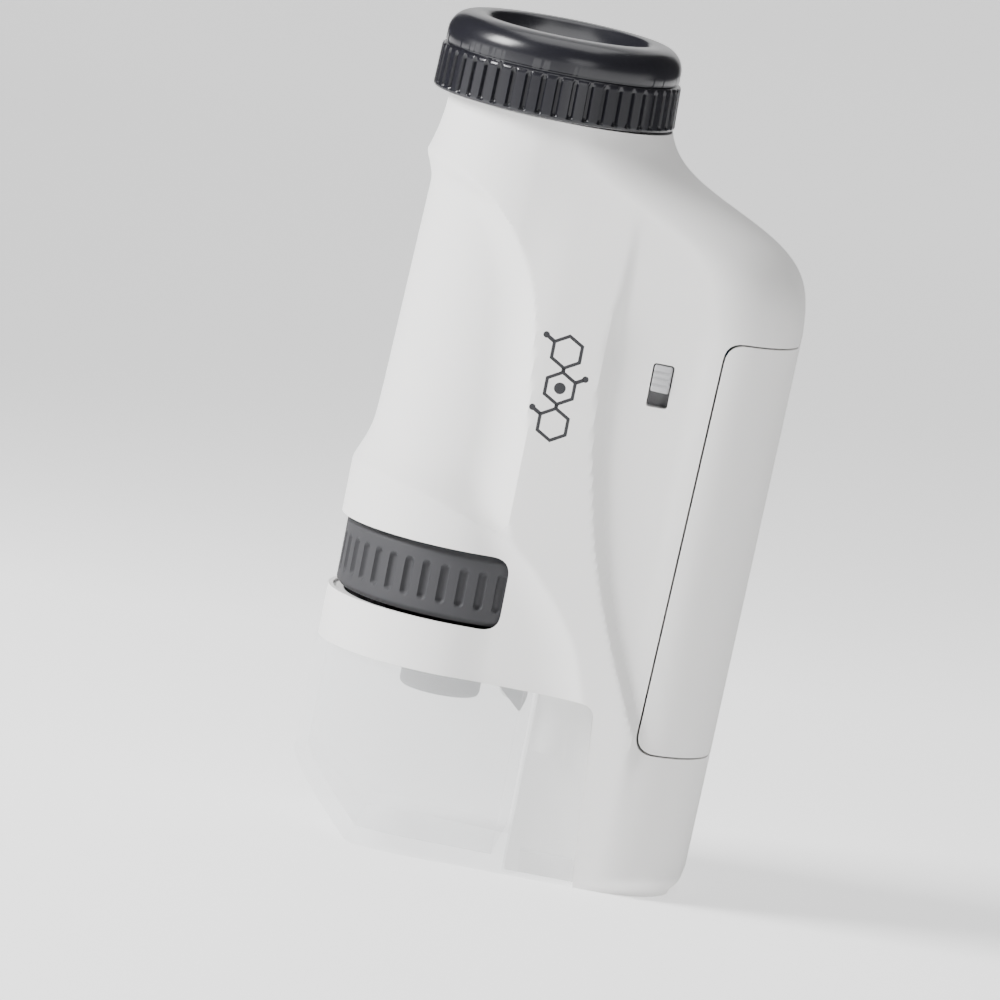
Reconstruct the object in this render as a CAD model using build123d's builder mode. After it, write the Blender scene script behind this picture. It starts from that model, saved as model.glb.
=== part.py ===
from build123d import *
from math import asin, cos, radians, sin, tanh
import os

# Hand-held kids microscope with a clear specimen base.
# Frame: +Z up along the optical axis, origin on that axis in the resting plane,
# -X towards the clear base, +X towards the grip, -Y the side with the light switch.
# All sizes are in millimetres.

os.makedirs("parts", exist_ok=True)

# ---------------------------------------------------------------- overall sizes
total_height = 105.0
base_radius = 16.6
collar_radius = 16.4
back_half_width = 15.0
back_corner_radius = 11.0
back_draft = 1.4
wall = 2.0

# ---------------------------------------------------------------- named clearances
running_gap = 0.3
guide_gap = 0.15
seam_gap = 0.15
glue_gap = 0.03
cell_gap = 0.5

# ---------------------------------------------------------------- depth, from the axis back through the cell
tray_front = 17.7
cell_radius = 7.25
cover_wall = 1.8
cell_x = tray_front + cell_gap + cell_radius
back_reach = cell_x + cell_radius + cell_gap + cover_wall + back_draft
far = 60.0  # reach of a cutter that runs right out of the toy

# ---------------------------------------------------------------- levels of the casing
base_height = 23.4
plate_top = base_height + wall
collar_top = 45.6
cap_height = 10.1
neck_top = total_height - cap_height - running_gap
shoulder_height = 22.6
shoulder_base = neck_top - shoulder_height
shoulder_middle = 0.375
shoulder_steepness = 4.2
shoulder_steps = 12
neck_radius = 13.2
neck_back = 15.4
spigot_height = 3.0
spigot_wall = 2.6

# ---------------------------------------------------------------- finger scoop
scoop_low = 42.3
scoop_top = neck_top - 8.6
scoop_tube_radius = 13.2
scoop_tube_low_x = -3.3
scoop_tube_top_x = 0.0

# ---------------------------------------------------------------- grip recess
recess_half_width = back_half_width
ridge_low = 18.0
ridge_high = 78.0

# ---------------------------------------------------------------- focus wheel
window_low = 30.0
window_high = 39.4
window_back = 6.7
window_corner = 2.25
wheel_radius = 15.5
wheel_grooves = 40
wheel_groove_length = 4.6
wheel_groove_width = 0.9
wheel_groove_depth = 0.5
wheel_chamfer = 0.6
focus_half_turn = 60.0
focus_half_travel = 2.0

# ---------------------------------------------------------------- optical tube
tube_inner = 7.75
tube_wall = 0.9
tube_outer = tube_inner + tube_wall
tube_top = neck_top - 2.6
field_stop_rim = 2.2
field_stop_height = 1.2
field_stop_depth = 0.4
rib_thickness = 1.6
rib_back = 11.6

# ---------------------------------------------------------------- cam pins
pin_radius = 0.9
pin_depth_in_cam = 0.7
cam_gap = 0.15
cam_steps_per_turn = 60

# ---------------------------------------------------------------- zoom group
zoom_turn = 150.0
zoom_travel = 8.0
sleeve_inner = tube_outer + 0.2
sleeve_wall = 0.9
sleeve_outer = sleeve_inner + sleeve_wall
sleeve_low = 63.0
sleeve_flange = 0.9
sleeve_flange_thickness = 1.2
carrier_radius = tube_inner - guide_gap
carrier_height = 7.0
carrier_low = 66.0
carrier_seat = 2.0
carrier_wall = 1.2
lens_ledge = 1.2
zoom_lens_radius = carrier_radius - carrier_wall
carrier_bore = zoom_lens_radius - lens_ledge
zoom_lens_edge = 1.4
zoom_lens_crown = 0.9

# ---------------------------------------------------------------- eyepiece cap
cap_band_radius = 15.5
cap_top_radius = 15.0
cap_band_height = 5.6
cap_taper = 0.2
cap_step = 0.3
cap_corner = 2.8
cap_rim_radius = 10.4
cap_grooves = 48
cap_groove_width = 0.55
cap_groove_depth = 0.45
eye_hole_radius = 6.0
eye_hole_height = 4.8
eye_lens_radius = 7.0
eye_lens_edge = 1.8
eye_lens_crown = 1.0
lens_edge_gap = 0.35
lens_ring_wall = 1.2

# ---------------------------------------------------------------- objective group
barrel_radius = tube_inner - guide_gap
barrel_wall = 1.2
nose_radius = 5.15
nose_bottom = 19.0
nose_round = 0.8
barrel_step = 27.9
barrel_top = 38.2
objective_lens_radius = 3.2
objective_lens_edge = 1.2
objective_lens_crown = 0.6
objective_hole = 2.2
nose_floor = 1.2
stop_hole = 1.6
stop_height = 2.0

# ---------------------------------------------------------------- battery and cover
cell_length = 50.5
cell_nub_radius = 2.75
cell_nub_height = 1.0
cell_chamfer = 0.4
contact_thickness = 0.4
contact_side = 9.0
contact_corner = 1.0
spring_turns = 2
spring_pitch = 0.64
spring_taper = 0.25
spring_length = 2.0
spring_wire = 0.35
spring_radius = 3.2
cover_low = 18.3
cover_low_x = 26.3
cover_high_x = 27.8
cover_corner = 2.5
cover_lip = 1.2
cover_lip_reach = 2.4
tray_wall = 1.2
tray_rib_depth = 4.0
tray_rib_offset = 1.8
cell_low = cover_low + contact_thickness + spring_length
cover_high = cell_low + cell_length + contact_thickness + 0.2
tray_half_width = cell_radius + cell_gap

# ---------------------------------------------------------------- clear base
base_wall = 1.6
base_floor = 2.0
leg_front = 13.1
wing_top_x = 20.4
wing_bottom_x = 22.1
leg_recess = 4.0
leg_wall = 1.6
leg_boss_radius = 2.5
leg_boss_drop = 7.6
leg_boss_sink = 0.4
base_foot_front = 14.8
base_foot_height = 3.2
base_cut_height = 8.3
base_cut_back = -7.0

# ---------------------------------------------------------------- lamp
lamp_x = 9.1
lamp_z = 21.3
lamp_radius = 1.5
lamp_length = 3.2
bracket_front = 7.6
bracket_back = 11.0
bracket_half_width = 4.5
bracket_drop = 4.6
bracket_lip = 1.6
peg_length = 1.2
peg_half_width = 1.5
specimen_z = base_floor

# ---------------------------------------------------------------- switch
switch_x = 20.7
switch_z = 64.6
slot_width = 2.7
slot_height = 5.6
slot_corner = 0.4
knob_gap = 0.2
knob_height = 3.4
knob_recess = 0.5
switch_half_x = 2.6
switch_half_z = 4.6
switch_wall = 1.6
switch_floor = 1.0
switch_tray_gap = 0.65
switch_depth = recess_half_width - switch_wall - tray_half_width - tray_wall - switch_tray_gap

# ---------------------------------------------------------------- board and wires
board_half_width = 6.0
board_low = 48.4
board_high = 62.0
board_thickness = 1.2
board_standoff = 1.4
board_margin = 3.0
board_peg_y = 4.0
board_back = tray_front - tray_wall - board_standoff
board_front = board_back - board_thickness
peg_radius = 1.2
resistor_radius = 0.9
resistor_length = 4.0
wire_radius = 0.5
wire_bend = 1.6
wire_tray_x = 0.5
wire_tray_y = 2.05
wire_x = tray_front + wire_tray_x
wire_y = tray_half_width + tray_wall + wire_tray_y
switch_wire_x = wire_x + 2 * wire_radius
switch_wire_y = wire_y + wire_radius
switch_wire_drop = 4.0

# ---------------------------------------------------------------- screws
screw_places = [(22.0, shoulder_base + 8.5), (13.4, collar_top - 1.2), (25.0, 9.0)]
screw_radius = 1.1
screw_head_radius = 2.2
screw_head_height = 1.4
screw_head_y = 9.0
screw_length = 15.0
screw_cross_length = 2.6
screw_cross_width = 0.5
screw_cross_depth = 0.8
boss_radius = 3.3
boss_front_radius = 2.7
screw_gap = 0.2


# ================================================================ shared shapes
def shoulder_share(z):
    """Return 1 on the straight grip, falling smoothly to 0 at the top of the neck."""
    if z <= shoulder_base:
        return 1.0
    drop = (neck_top - z) / shoulder_height
    low = tanh(-shoulder_middle * shoulder_steepness)
    high = tanh((1 - shoulder_middle) * shoulder_steepness)
    return (tanh((drop - shoulder_middle) * shoulder_steepness) - low) / (high - low)


def grip_back(z):
    """Return how far the straight grip reaches back at a height."""
    return back_reach - back_draft * (1 - min(z, shoulder_base) / shoulder_base)


def plan_face(z, inset, front_radius):
    """Return the casing's plan at a height, drawn in by inset."""
    share = shoulder_share(z)
    top_half_width = neck_radius - 0.1
    front = neck_radius + (front_radius - neck_radius) * share - inset
    side = top_half_width + (back_half_width - top_half_width) * share - inset
    back = neck_back + (grip_back(z) - neck_back) * share - inset
    corner = top_half_width - 0.1 + (back_corner_radius - top_half_width + 0.1) * share - inset
    with BuildSketch(Plane.XY.offset(z)) as plan:
        with BuildLine():
            FilletPolyline((0, -front), (back, -side), (back, side), (0, front), radius=corner)
            ThreePointArc((0, front), (-front, 0), (0, -front))
        make_face()
    return plan.sketch


def casing_solid(inset, low, high, front_radius=collar_radius):
    """Return the casing's outer form between two heights, drawn in by inset."""
    levels = [low, high]
    for step in range(shoulder_steps):
        level = shoulder_base + shoulder_height * step / shoulder_steps
        if low < level < high:
            levels.append(level)
    sections = [plan_face(z, inset, front_radius) for z in sorted(levels)]
    with BuildPart() as solid:
        loft(sections, ruled=True)
    return solid.part


def side_prism(points, reach=30.0, front_corner=0.0):
    """Return a prism across the casing from a closed side view, its two front corners rounded if asked."""
    with BuildPart() as prism:
        with BuildSketch(Plane.XZ):
            with BuildLine():
                Polyline(*points, close=True)
            make_face()
            if front_corner:
                fillet(vertices().sort_by(Axis.X)[:2], front_corner)
        extrude(amount=reach, both=True)
    return prism.part


def scoop_prism(grow=0.0):
    """Return a prism in front of the scoop's crease and above the lower collar, larger by grow."""
    low = scoop_low - grow
    height = scoop_top + grow - low
    crease = [(5.3, 0.0), (5.4, 0.288), (4.7, 0.465), (3.0, 0.698), (1.0, 0.808), (-2.9, 0.92), (-7.9, 1.0)]
    collar = [(-12.2, 3.9), (-5.4, 3.3), (1.0, 1.2), (5.3, 0.0)]
    crease_line = [(x + grow, low + share * height) for x, share in crease]
    collar_line = [(x + grow, low + rise) for x, rise in collar]
    with BuildPart() as prism:
        with BuildSketch(Plane.XZ):
            with BuildLine():
                Spline(*crease_line)
                Polyline(
                    crease_line[-1],
                    (-far, scoop_top + grow),
                    (-far, collar_line[0][1]),
                    collar_line[0],
                )
                Spline(*collar_line)
            make_face()
        extrude(amount=far, both=True)
    return prism.part


def scoop_tube(radius):
    """Return the slightly leaning front tube that stands inside the scoop."""
    with BuildPart() as tube:
        with BuildSketch(Plane.XY.offset(scoop_low - wall)):
            with Locations((scoop_tube_low_x, 0)):
                Circle(radius)
        with BuildSketch(Plane.XY.offset(scoop_top + 2 * wall)):
            with Locations((scoop_tube_top_x, 0)):
                Circle(radius)
        loft()
    return tube.part


def lens_solid(radius, edge, crown, low):
    """Return a lens with two domed faces whose rim starts at a height."""
    dome_radius = (radius**2 + crown**2) / (2 * crown)
    half_angle = asin(radius / dome_radius) / 2
    middle_x = dome_radius * sin(half_angle)
    middle_drop = dome_radius * (1 - cos(half_angle))
    top = low + edge + crown
    bottom = low - crown
    with BuildPart() as lens:
        with BuildSketch(Plane.XZ):
            with BuildLine():
                Line((0, bottom), (0, top))
                ThreePointArc((0, top), (middle_x, top - middle_drop), (radius, low + edge))
                Line((radius, low + edge), (radius, low))
                ThreePointArc((radius, low), (middle_x, bottom + middle_drop), (0, bottom))
            make_face()
        revolve(axis=Axis.Z)
    return lens.part


def ring_solid(outer, inner, low, high):
    """Return a ring about the optical axis, or a disc where inner is 0."""
    with BuildPart() as ring:
        with BuildSketch(Plane.XY.offset(low)):
            Circle(outer)
            if inner:
                Circle(inner, mode=Mode.SUBTRACT)
        extrude(amount=high - low)
    return ring.part


def cam_path(first_angle, turn, low, rise, inner, outer):
    """Return a helical row of overlapping round cutters that point at the optical axis."""
    count = max(2, round(abs(turn) / 360 * cam_steps_per_turn))
    with BuildPart() as path:
        for step in range(count + 1):
            share = step / count
            angle = first_angle + turn * share
            place = Plane(
                origin=(inner * cos(radians(angle)), inner * sin(radians(angle)), low + rise * share),
                z_dir=(cos(radians(angle)), sin(radians(angle)), 0),
            )
            with BuildSketch(place):
                Circle(pin_radius + cam_gap)
            extrude(amount=outer - inner)
    return path.part


def pin_pair(height, inner, outer):
    """Return two pins that point sideways from the optical axis."""
    with BuildPart() as pins:
        for side in (-1, 1):
            with BuildSketch(Plane(origin=(0, side * inner, height), z_dir=(0, side, 0))):
                Circle(pin_radius)
            extrude(amount=outer - inner)
    return pins.part


def slot_pair(low, high):
    """Return cutters for the two straight guide slots of the optical tube."""
    with BuildPart() as slots:
        with BuildSketch(Plane.XZ):
            with Locations((0, (low + high) / 2)):
                SlotCenterToCenter(high - low, 2 * (pin_radius + cam_gap), rotation=90)
        extrude(amount=tube_outer + 1, both=True)
    return slots.part


def tube_along(points, radius, bend):
    """Return a round wire along straight runs joined by arcs."""
    with BuildPart() as wire:
        with BuildLine() as route:
            FilletPolyline(*points, radius=bend)
        start = Vector(*points[0])
        with BuildSketch(Plane(origin=start, z_dir=Vector(*points[1]) - start)):
            Circle(radius)
        sweep(path=route.wires()[0])
    return wire.part


def save(part, name):
    """Label a finished piece and write its file."""
    part.label = name
    export_step(part, f"parts/{name}.step")


# ================================================================ casing, both halves in one
cover_outline = [(cover_low_x, cover_low), (far, cover_low), (far, cover_high), (cover_high_x, cover_high)]
ridge_outline = [(13.2, 74.4), (12.9, 68.0), (13.7, 56.6), (16.1, 45.0), (20.1, 33.3), (25.8, 20.6)]
wing_outline = [(-30, -1), (wing_bottom_x, -1), (wing_top_x, base_height), (-30, base_height)]

with BuildPart() as ridge_prism:
    with BuildSketch(Plane.XZ):
        with BuildLine():
            Spline(*ridge_outline)
            Polyline(ridge_outline[-1], (far, ridge_low), (far, ridge_high), ridge_outline[0])
        make_face()
    extrude(amount=far, both=True)
    with BuildSketch(Plane.XY):
        Rectangle(4 * far, 2 * recess_half_width)
    extrude(amount=2 * total_height, mode=Mode.SUBTRACT)

with BuildPart() as scoop_cutter:
    add(scoop_prism())
    add(scoop_tube(scoop_tube_radius), mode=Mode.SUBTRACT)

sleeve_room = sleeve_outer + sleeve_flange + running_gap
with BuildPart() as core_cutter:
    add(scoop_prism(grow=wall))
    add(scoop_tube(scoop_tube_radius - wall), mode=Mode.SUBTRACT)
    add(ring_solid(tube_outer + 2 * running_gap, 0, plate_top, neck_top), mode=Mode.SUBTRACT)
    add(ring_solid(sleeve_room, 0, sleeve_low - 1.0, neck_top), mode=Mode.SUBTRACT)

with BuildPart() as casing_form:
    add(casing_solid(0, 0, neck_top))
    add(scoop_cutter.part, mode=Mode.SUBTRACT)
    add(ridge_prism.part, mode=Mode.SUBTRACT)

with BuildPart() as casing_core:
    add(casing_solid(wall, plate_top, neck_top - wall))
    add(core_cutter.part, mode=Mode.SUBTRACT)

wing_cutter_outline = [(x + seam_gap if x > 0 else x, z) for x, z in wing_outline]
with BuildPart() as leg_recess_cutter:
    add(casing_solid(0, -1, base_height, base_radius + 1))
    add(casing_solid(leg_recess, -1, base_height), mode=Mode.SUBTRACT)
    add(side_prism(wing_cutter_outline), mode=Mode.INTERSECT)

boss_y = back_half_width - leg_recess - leg_boss_sink
with BuildPart() as leg_bosses:
    with BuildSketch(Plane.XY.offset(base_height - leg_boss_drop)):
        with Locations((leg_front + leg_boss_radius, boss_y), (leg_front + leg_boss_radius, -boss_y)):
            Circle(leg_boss_radius)
    extrude(amount=leg_boss_drop)

with BuildPart() as leg_hollow:
    add(casing_solid(leg_recess + leg_wall, wall, cover_low - wall))
    with BuildSketch(Plane.XY):
        with Locations((leg_front + wall, 0)):
            Rectangle(far, far, align=(Align.MIN, Align.CENTER))
    extrude(amount=far, mode=Mode.INTERSECT)

sleeve_rib_low = sleeve_low + sleeve_flange_thickness + running_gap
tube_rib_levels = [window_low - running_gap - rib_thickness, window_high + running_gap, collar_top + 12.0]
with BuildPart() as casing_ribs:
    for level in tube_rib_levels:
        with BuildSketch(Plane.XY.offset(level)):
            with Locations((rib_back, 0)):
                Rectangle(far, far, align=(Align.MAX, Align.CENTER))
            Circle(tube_outer + glue_gap, mode=Mode.SUBTRACT)
        extrude(amount=rib_thickness)
    with BuildSketch(Plane.XY.offset(sleeve_rib_low)):
        with Locations((rib_back, 0)):
            Rectangle(far, far, align=(Align.MAX, Align.CENTER))
        Circle(sleeve_outer + running_gap, mode=Mode.SUBTRACT)
    extrude(amount=rib_thickness)
    add(casing_core.part, mode=Mode.INTERSECT)

with BuildPart() as battery_tray:
    with BuildSketch(Plane.XY.offset(plate_top)):
        with Locations((tray_front - tray_wall, 0)):
            Rectangle(far, 2 * (tray_half_width + tray_wall), align=(Align.MIN, Align.CENTER))
    extrude(amount=cover_high + tray_wall - plate_top)
    with BuildSketch(Plane.XY.offset(cover_high)):
        with Locations((tray_front - tray_wall, 0)):
            Rectangle(far, far, align=(Align.MIN, Align.CENTER))
    extrude(amount=tray_wall)
    for side in (-1, 1):
        with BuildSketch(Plane.XY.offset(collar_top)):
            with Locations((tray_front + tray_rib_offset, side * tray_half_width)):
                Rectangle(tray_rib_depth, 30, align=(Align.MIN, Align.MIN if side > 0 else Align.MAX))
        extrude(amount=rib_thickness)
    add(casing_core.part, mode=Mode.INTERSECT)

with BuildPart() as cell_bay:
    with BuildSketch(Plane.XY.offset(cover_low)):
        with Locations((tray_front, 0)):
            Rectangle(far, 2 * tray_half_width, align=(Align.MIN, Align.CENTER))
    extrude(amount=cover_high - cover_low)

with BuildPart() as wheel_window:
    with BuildSketch(Plane.XZ):
        with BuildLine():
            Polyline(
                (-far, window_low),
                (window_back, window_low),
                (window_back, window_high),
                (-far, window_high),
                close=True,
            )
        make_face()
        fillet(vertices().group_by(Axis.X)[-1], window_corner)
    extrude(amount=far, both=True)

with BuildPart() as board_pegs:
    for level in (board_low + board_margin, board_high - board_margin):
        for side in (-1, 1):
            peg_place = Plane(origin=(board_back, side * board_peg_y, level), z_dir=(1, 0, 0))
            with BuildSketch(peg_place):
                Circle(peg_radius)
            extrude(amount=board_standoff + tray_wall / 2)

bracket_peg_front = bracket_back - 0.9 - peg_length
with BuildPart() as casing:
    add(casing_form.part)
    add(casing_core.part, mode=Mode.SUBTRACT)
    with BuildSketch():
        with Locations((leg_front, 0)):
            Rectangle(far, far, align=(Align.MAX, Align.CENTER))
    extrude(amount=base_height, mode=Mode.SUBTRACT)
    add(leg_recess_cutter.part, mode=Mode.SUBTRACT)
    add(leg_bosses.part)
    add(leg_hollow.part, mode=Mode.SUBTRACT)
    add(casing_ribs.part)
    add(battery_tray.part)
    add(board_pegs.part)
    add(cell_bay.part, mode=Mode.SUBTRACT)
    add(side_prism(cover_outline, front_corner=cover_corner), mode=Mode.SUBTRACT)
    add(wheel_window.part, mode=Mode.SUBTRACT)
    with BuildSketch(Plane.XY.offset(window_low - running_gap)):
        Circle(wheel_radius + running_gap)
    extrude(amount=window_high - window_low + 2 * running_gap, mode=Mode.SUBTRACT)
    with BuildSketch(Plane.XY.offset(base_height)):
        Circle(nose_radius + running_gap)
        with Locations((bracket_peg_front - glue_gap, 0)):
            Rectangle(
                peg_length + 2 * glue_gap,
                2 * (peg_half_width + glue_gap),
                align=(Align.MIN, Align.CENTER),
            )
    extrude(amount=wall, mode=Mode.SUBTRACT)
    with BuildSketch(Plane.XY.offset(neck_top)):
        Circle(sleeve_outer + running_gap + spigot_wall)
    extrude(amount=spigot_height)
    with BuildSketch(Plane.XY.offset(neck_top - wall)):
        Circle(sleeve_outer + running_gap)
    extrude(amount=wall + spigot_height, mode=Mode.SUBTRACT)


def shell_half(side):
    """Return one half of the casing, parted along the middle."""
    with BuildPart() as half:
        add(casing.part)
        with BuildSketch(Plane.XZ):
            Rectangle(4 * far, 4 * far)
        extrude(amount=side * far, mode=Mode.INTERSECT)
    return half.part


def screw_bosses(side, radius):
    """Return the bosses of one half: round posts from the parting plane to the outer wall."""
    with BuildPart() as bosses:
        for x, z in screw_places:
            with BuildSketch(Plane(origin=(x, 0, z), z_dir=(0, side, 0))):
                Circle(radius)
            extrude(amount=back_half_width + 1.0)
        add(casing_solid(wall / 2, wall / 2, neck_top - wall / 2), mode=Mode.INTERSECT)
    return bosses.part


with BuildPart() as left_shell:
    add(shell_half(1))
    add(screw_bosses(-1, boss_front_radius))
    for x, z in screw_places:
        with BuildSketch(Plane(origin=(x, 0, z), z_dir=(0, -1, 0))):
            Circle(screw_radius + glue_gap)
        extrude(amount=screw_length - screw_head_y + 1.0, mode=Mode.SUBTRACT)
    with BuildSketch(Plane(origin=(switch_x, 0, switch_z), x_dir=(1, 0, 0), z_dir=(0, -1, 0))):
        RectangleRounded(slot_width, slot_height, slot_corner)
    extrude(amount=far, mode=Mode.SUBTRACT)
save(left_shell.part, "left_shell")

with BuildPart() as right_shell:
    add(shell_half(-1))
    add(screw_bosses(1, boss_radius))
    for x, z in screw_places:
        with BuildSketch(Plane(origin=(x, 0, z), z_dir=(0, 1, 0))):
            Circle(screw_radius + screw_gap)
        extrude(amount=far, mode=Mode.SUBTRACT)
        with BuildSketch(Plane(origin=(x, screw_head_y, z), z_dir=(0, 1, 0))):
            Circle(screw_head_radius + screw_gap)
        extrude(amount=far, mode=Mode.SUBTRACT)
save(right_shell.part, "right_shell")

with BuildPart() as case_screws:
    for x, z in screw_places:
        with BuildSketch(Plane(origin=(x, screw_head_y, z), z_dir=(0, 1, 0))):
            Circle(screw_head_radius)
        extrude(amount=screw_head_height)
        with BuildSketch(Plane(origin=(x, screw_head_y, z), z_dir=(0, -1, 0))):
            Circle(screw_radius)
        extrude(amount=screw_length)
        cross = Plane(origin=(x, screw_head_y + screw_head_height, z), z_dir=(0, -1, 0))
        with BuildSketch(cross):
            Rectangle(screw_cross_length, screw_cross_width)
            Rectangle(screw_cross_width, screw_cross_length)
        extrude(amount=screw_cross_depth, mode=Mode.SUBTRACT)
save(case_screws.part, "case_screws")

# ================================================================ battery cover
with BuildPart() as battery_cover:
    add(casing_form.part)
    add(casing_solid(cover_wall, 0, neck_top), mode=Mode.SUBTRACT)
    with BuildSketch(Plane.XZ):
        with BuildLine():
            Polyline(*cover_outline, close=True)
        make_face()
        fillet(vertices().sort_by(Axis.X)[:2], cover_corner)
        offset(amount=-seam_gap, kind=Kind.INTERSECTION)
    extrude(amount=far, both=True, mode=Mode.INTERSECT)

lip_outer = wall + guide_gap
lip_low = plate_top + running_gap
lip_high = cover_high - cover_corner


def lip_band(outer_inset, front, back):
    """Return a band inside the casing's side walls, between two slanted or upright ends."""
    with BuildPart() as band:
        add(casing_solid(outer_inset, lip_low, lip_high))
        add(casing_solid(lip_outer + cover_lip, cover_low, cover_high), mode=Mode.SUBTRACT)
        with BuildSketch(Plane.XY):
            with Locations((front, 0)):
                Rectangle(back - front, far, align=(Align.MIN, Align.CENTER))
        extrude(amount=2 * total_height, mode=Mode.INTERSECT)
    return band.part


with BuildPart() as cover_lips:
    add(lip_band(lip_outer, cover_low_x - cover_lip_reach, cover_high_x + cover_lip_reach))
    add(lip_band(cover_wall - glue_gap, cover_high_x + 2 * seam_gap, cover_high_x + cover_lip_reach))

with BuildPart() as cover_joined:
    add(battery_cover.part)
    add(cover_lips.part)
save(cover_joined.part, "battery_cover")

# ================================================================ battery and contacts
with BuildPart() as battery_cell:
    with BuildSketch(Plane.XY.offset(cell_low)):
        with Locations((cell_x, 0)):
            Circle(cell_radius)
    extrude(amount=cell_length - cell_nub_height)
    chamfer(battery_cell.edges().filter_by(GeomType.CIRCLE), cell_chamfer)
    with BuildSketch(Plane.XY.offset(cell_low + cell_length - cell_nub_height)):
        with Locations((cell_x, 0)):
            Circle(cell_nub_radius)
    extrude(amount=cell_nub_height)
save(battery_cell.part, "battery_cell")

with BuildPart() as contact_plate:
    with BuildSketch(Plane.XY.offset(cover_high - contact_thickness)):
        with Locations((cell_x, 0)):
            RectangleRounded(contact_side, contact_side, contact_corner)
    extrude(amount=contact_thickness)
save(contact_plate.part, "contact_plate")

with BuildPart() as contact_spring:
    with BuildSketch(Plane.XY.offset(cover_low)):
        with Locations((cell_x, 0)):
            RectangleRounded(contact_side, contact_side, contact_corner)
    extrude(amount=contact_thickness)
    for turn in range(spring_turns):
        coil_level = cover_low + contact_thickness + spring_wire * 0.9 + turn * spring_pitch
        coil_radius = spring_radius - turn * spring_taper
        with BuildSketch(Plane(origin=(cell_x + coil_radius, 0, coil_level), z_dir=(0, 1, 0))):
            Circle(spring_wire)
        revolve(axis=Axis((cell_x, 0, 0), (0, 0, 1)))
save(contact_spring.part, "contact_spring")

# ================================================================ clear base
base_back = leg_front - 0.2
base_cut_outline = [
    (-far, -1),
    (base_cut_back, -1),
    (base_cut_back, 0),
    (-base_radius, base_cut_height),
    (-far, base_cut_height),
]
room_cut_outline = [(x + base_wall, z + base_wall * 0.8) for x, z in base_cut_outline]
with BuildPart() as base_room:
    add(casing_solid(base_wall, base_floor, base_height + 1, base_radius))
    with BuildSketch(Plane.XY):
        with Locations((base_back - base_wall, 0)):
            Rectangle(far, far, align=(Align.MAX, Align.CENTER))
    extrude(amount=far, mode=Mode.INTERSECT)
    add(side_prism(room_cut_outline), mode=Mode.SUBTRACT)

with BuildPart() as wing_room:
    add(casing_solid(base_wall, -1, base_height + 1, base_radius))
    with BuildSketch(Plane.XY.offset(-1)):
        with Locations((base_back, 0)):
            Rectangle(far, far, align=(Align.MIN, Align.CENTER))
    extrude(amount=far, mode=Mode.INTERSECT)

with BuildPart() as wing_feet:
    add(casing_solid(base_wall / 2, 0, base_foot_height, base_radius))
    add(casing_solid(leg_recess - running_gap, -1, base_foot_height + 1), mode=Mode.SUBTRACT)
    with BuildSketch(Plane.XY):
        with Locations((base_foot_front, 0)):
            Rectangle(wing_top_x + 1.0 - base_foot_front, far, align=(Align.MIN, Align.CENTER))
    extrude(amount=base_foot_height, mode=Mode.INTERSECT)

with BuildPart() as clear_base:
    add(casing_solid(0, 0, base_height, base_radius))
    add(side_prism(wing_outline), mode=Mode.INTERSECT)
    add(wing_room.part, mode=Mode.SUBTRACT)
    add(wing_feet.part)
    add(side_prism(base_cut_outline), mode=Mode.SUBTRACT)
    add(base_room.part, mode=Mode.SUBTRACT)
save(clear_base.part, "clear_base")

# ================================================================ optical tube
focus_pin_height = (window_low + window_high) / 2
zoom_pin_height = carrier_low + carrier_height / 2
with BuildPart() as optical_tube:
    add(ring_solid(tube_outer, tube_inner, plate_top, tube_top))
    for low, high in (
        (focus_pin_height - focus_half_travel, focus_pin_height + focus_half_travel),
        (zoom_pin_height, zoom_pin_height + zoom_travel),
    ):
        add(slot_pair(low, high), mode=Mode.SUBTRACT)
save(optical_tube.part, "optical_tube")

with BuildPart() as field_stop:
    stop_top = tube_top - field_stop_depth
    stop_low = stop_top - field_stop_height
    add(ring_solid(tube_inner - glue_gap, tube_inner - field_stop_rim, stop_low, stop_top))
save(field_stop.part, "field_stop")

# ================================================================ zoom group
sleeve_top = neck_top + running_gap + spigot_height + running_gap
with BuildPart() as zoom_sleeve:
    add(ring_solid(sleeve_outer, sleeve_inner, sleeve_low, sleeve_top))
    flange_top = sleeve_low + sleeve_flange_thickness
    add(ring_solid(sleeve_outer + sleeve_flange, sleeve_outer - sleeve_wall / 2, sleeve_low, flange_top))
    for side in (90, 270):
        add(
            cam_path(side, -zoom_turn, zoom_pin_height, zoom_travel, sleeve_inner - 1.0, sleeve_outer + 1.0),
            mode=Mode.SUBTRACT,
        )
save(zoom_sleeve.part, "zoom_sleeve")

with BuildPart() as zoom_carrier:
    add(ring_solid(carrier_radius, carrier_bore, carrier_low, carrier_low + carrier_height))
    carrier_top = carrier_low + carrier_height
    seat = carrier_low + carrier_seat
    add(ring_solid(zoom_lens_radius + glue_gap, 0, seat, carrier_top), mode=Mode.SUBTRACT)
    add(pin_pair(zoom_pin_height, zoom_lens_radius + carrier_wall / 2, sleeve_inner + pin_depth_in_cam))
save(zoom_carrier.part, "zoom_carrier")

zoom_lens_low = carrier_low + carrier_seat + lens_edge_gap
zoom_lens = lens_solid(zoom_lens_radius, zoom_lens_edge, zoom_lens_crown, zoom_lens_low)
save(zoom_lens, "zoom_lens")

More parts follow.
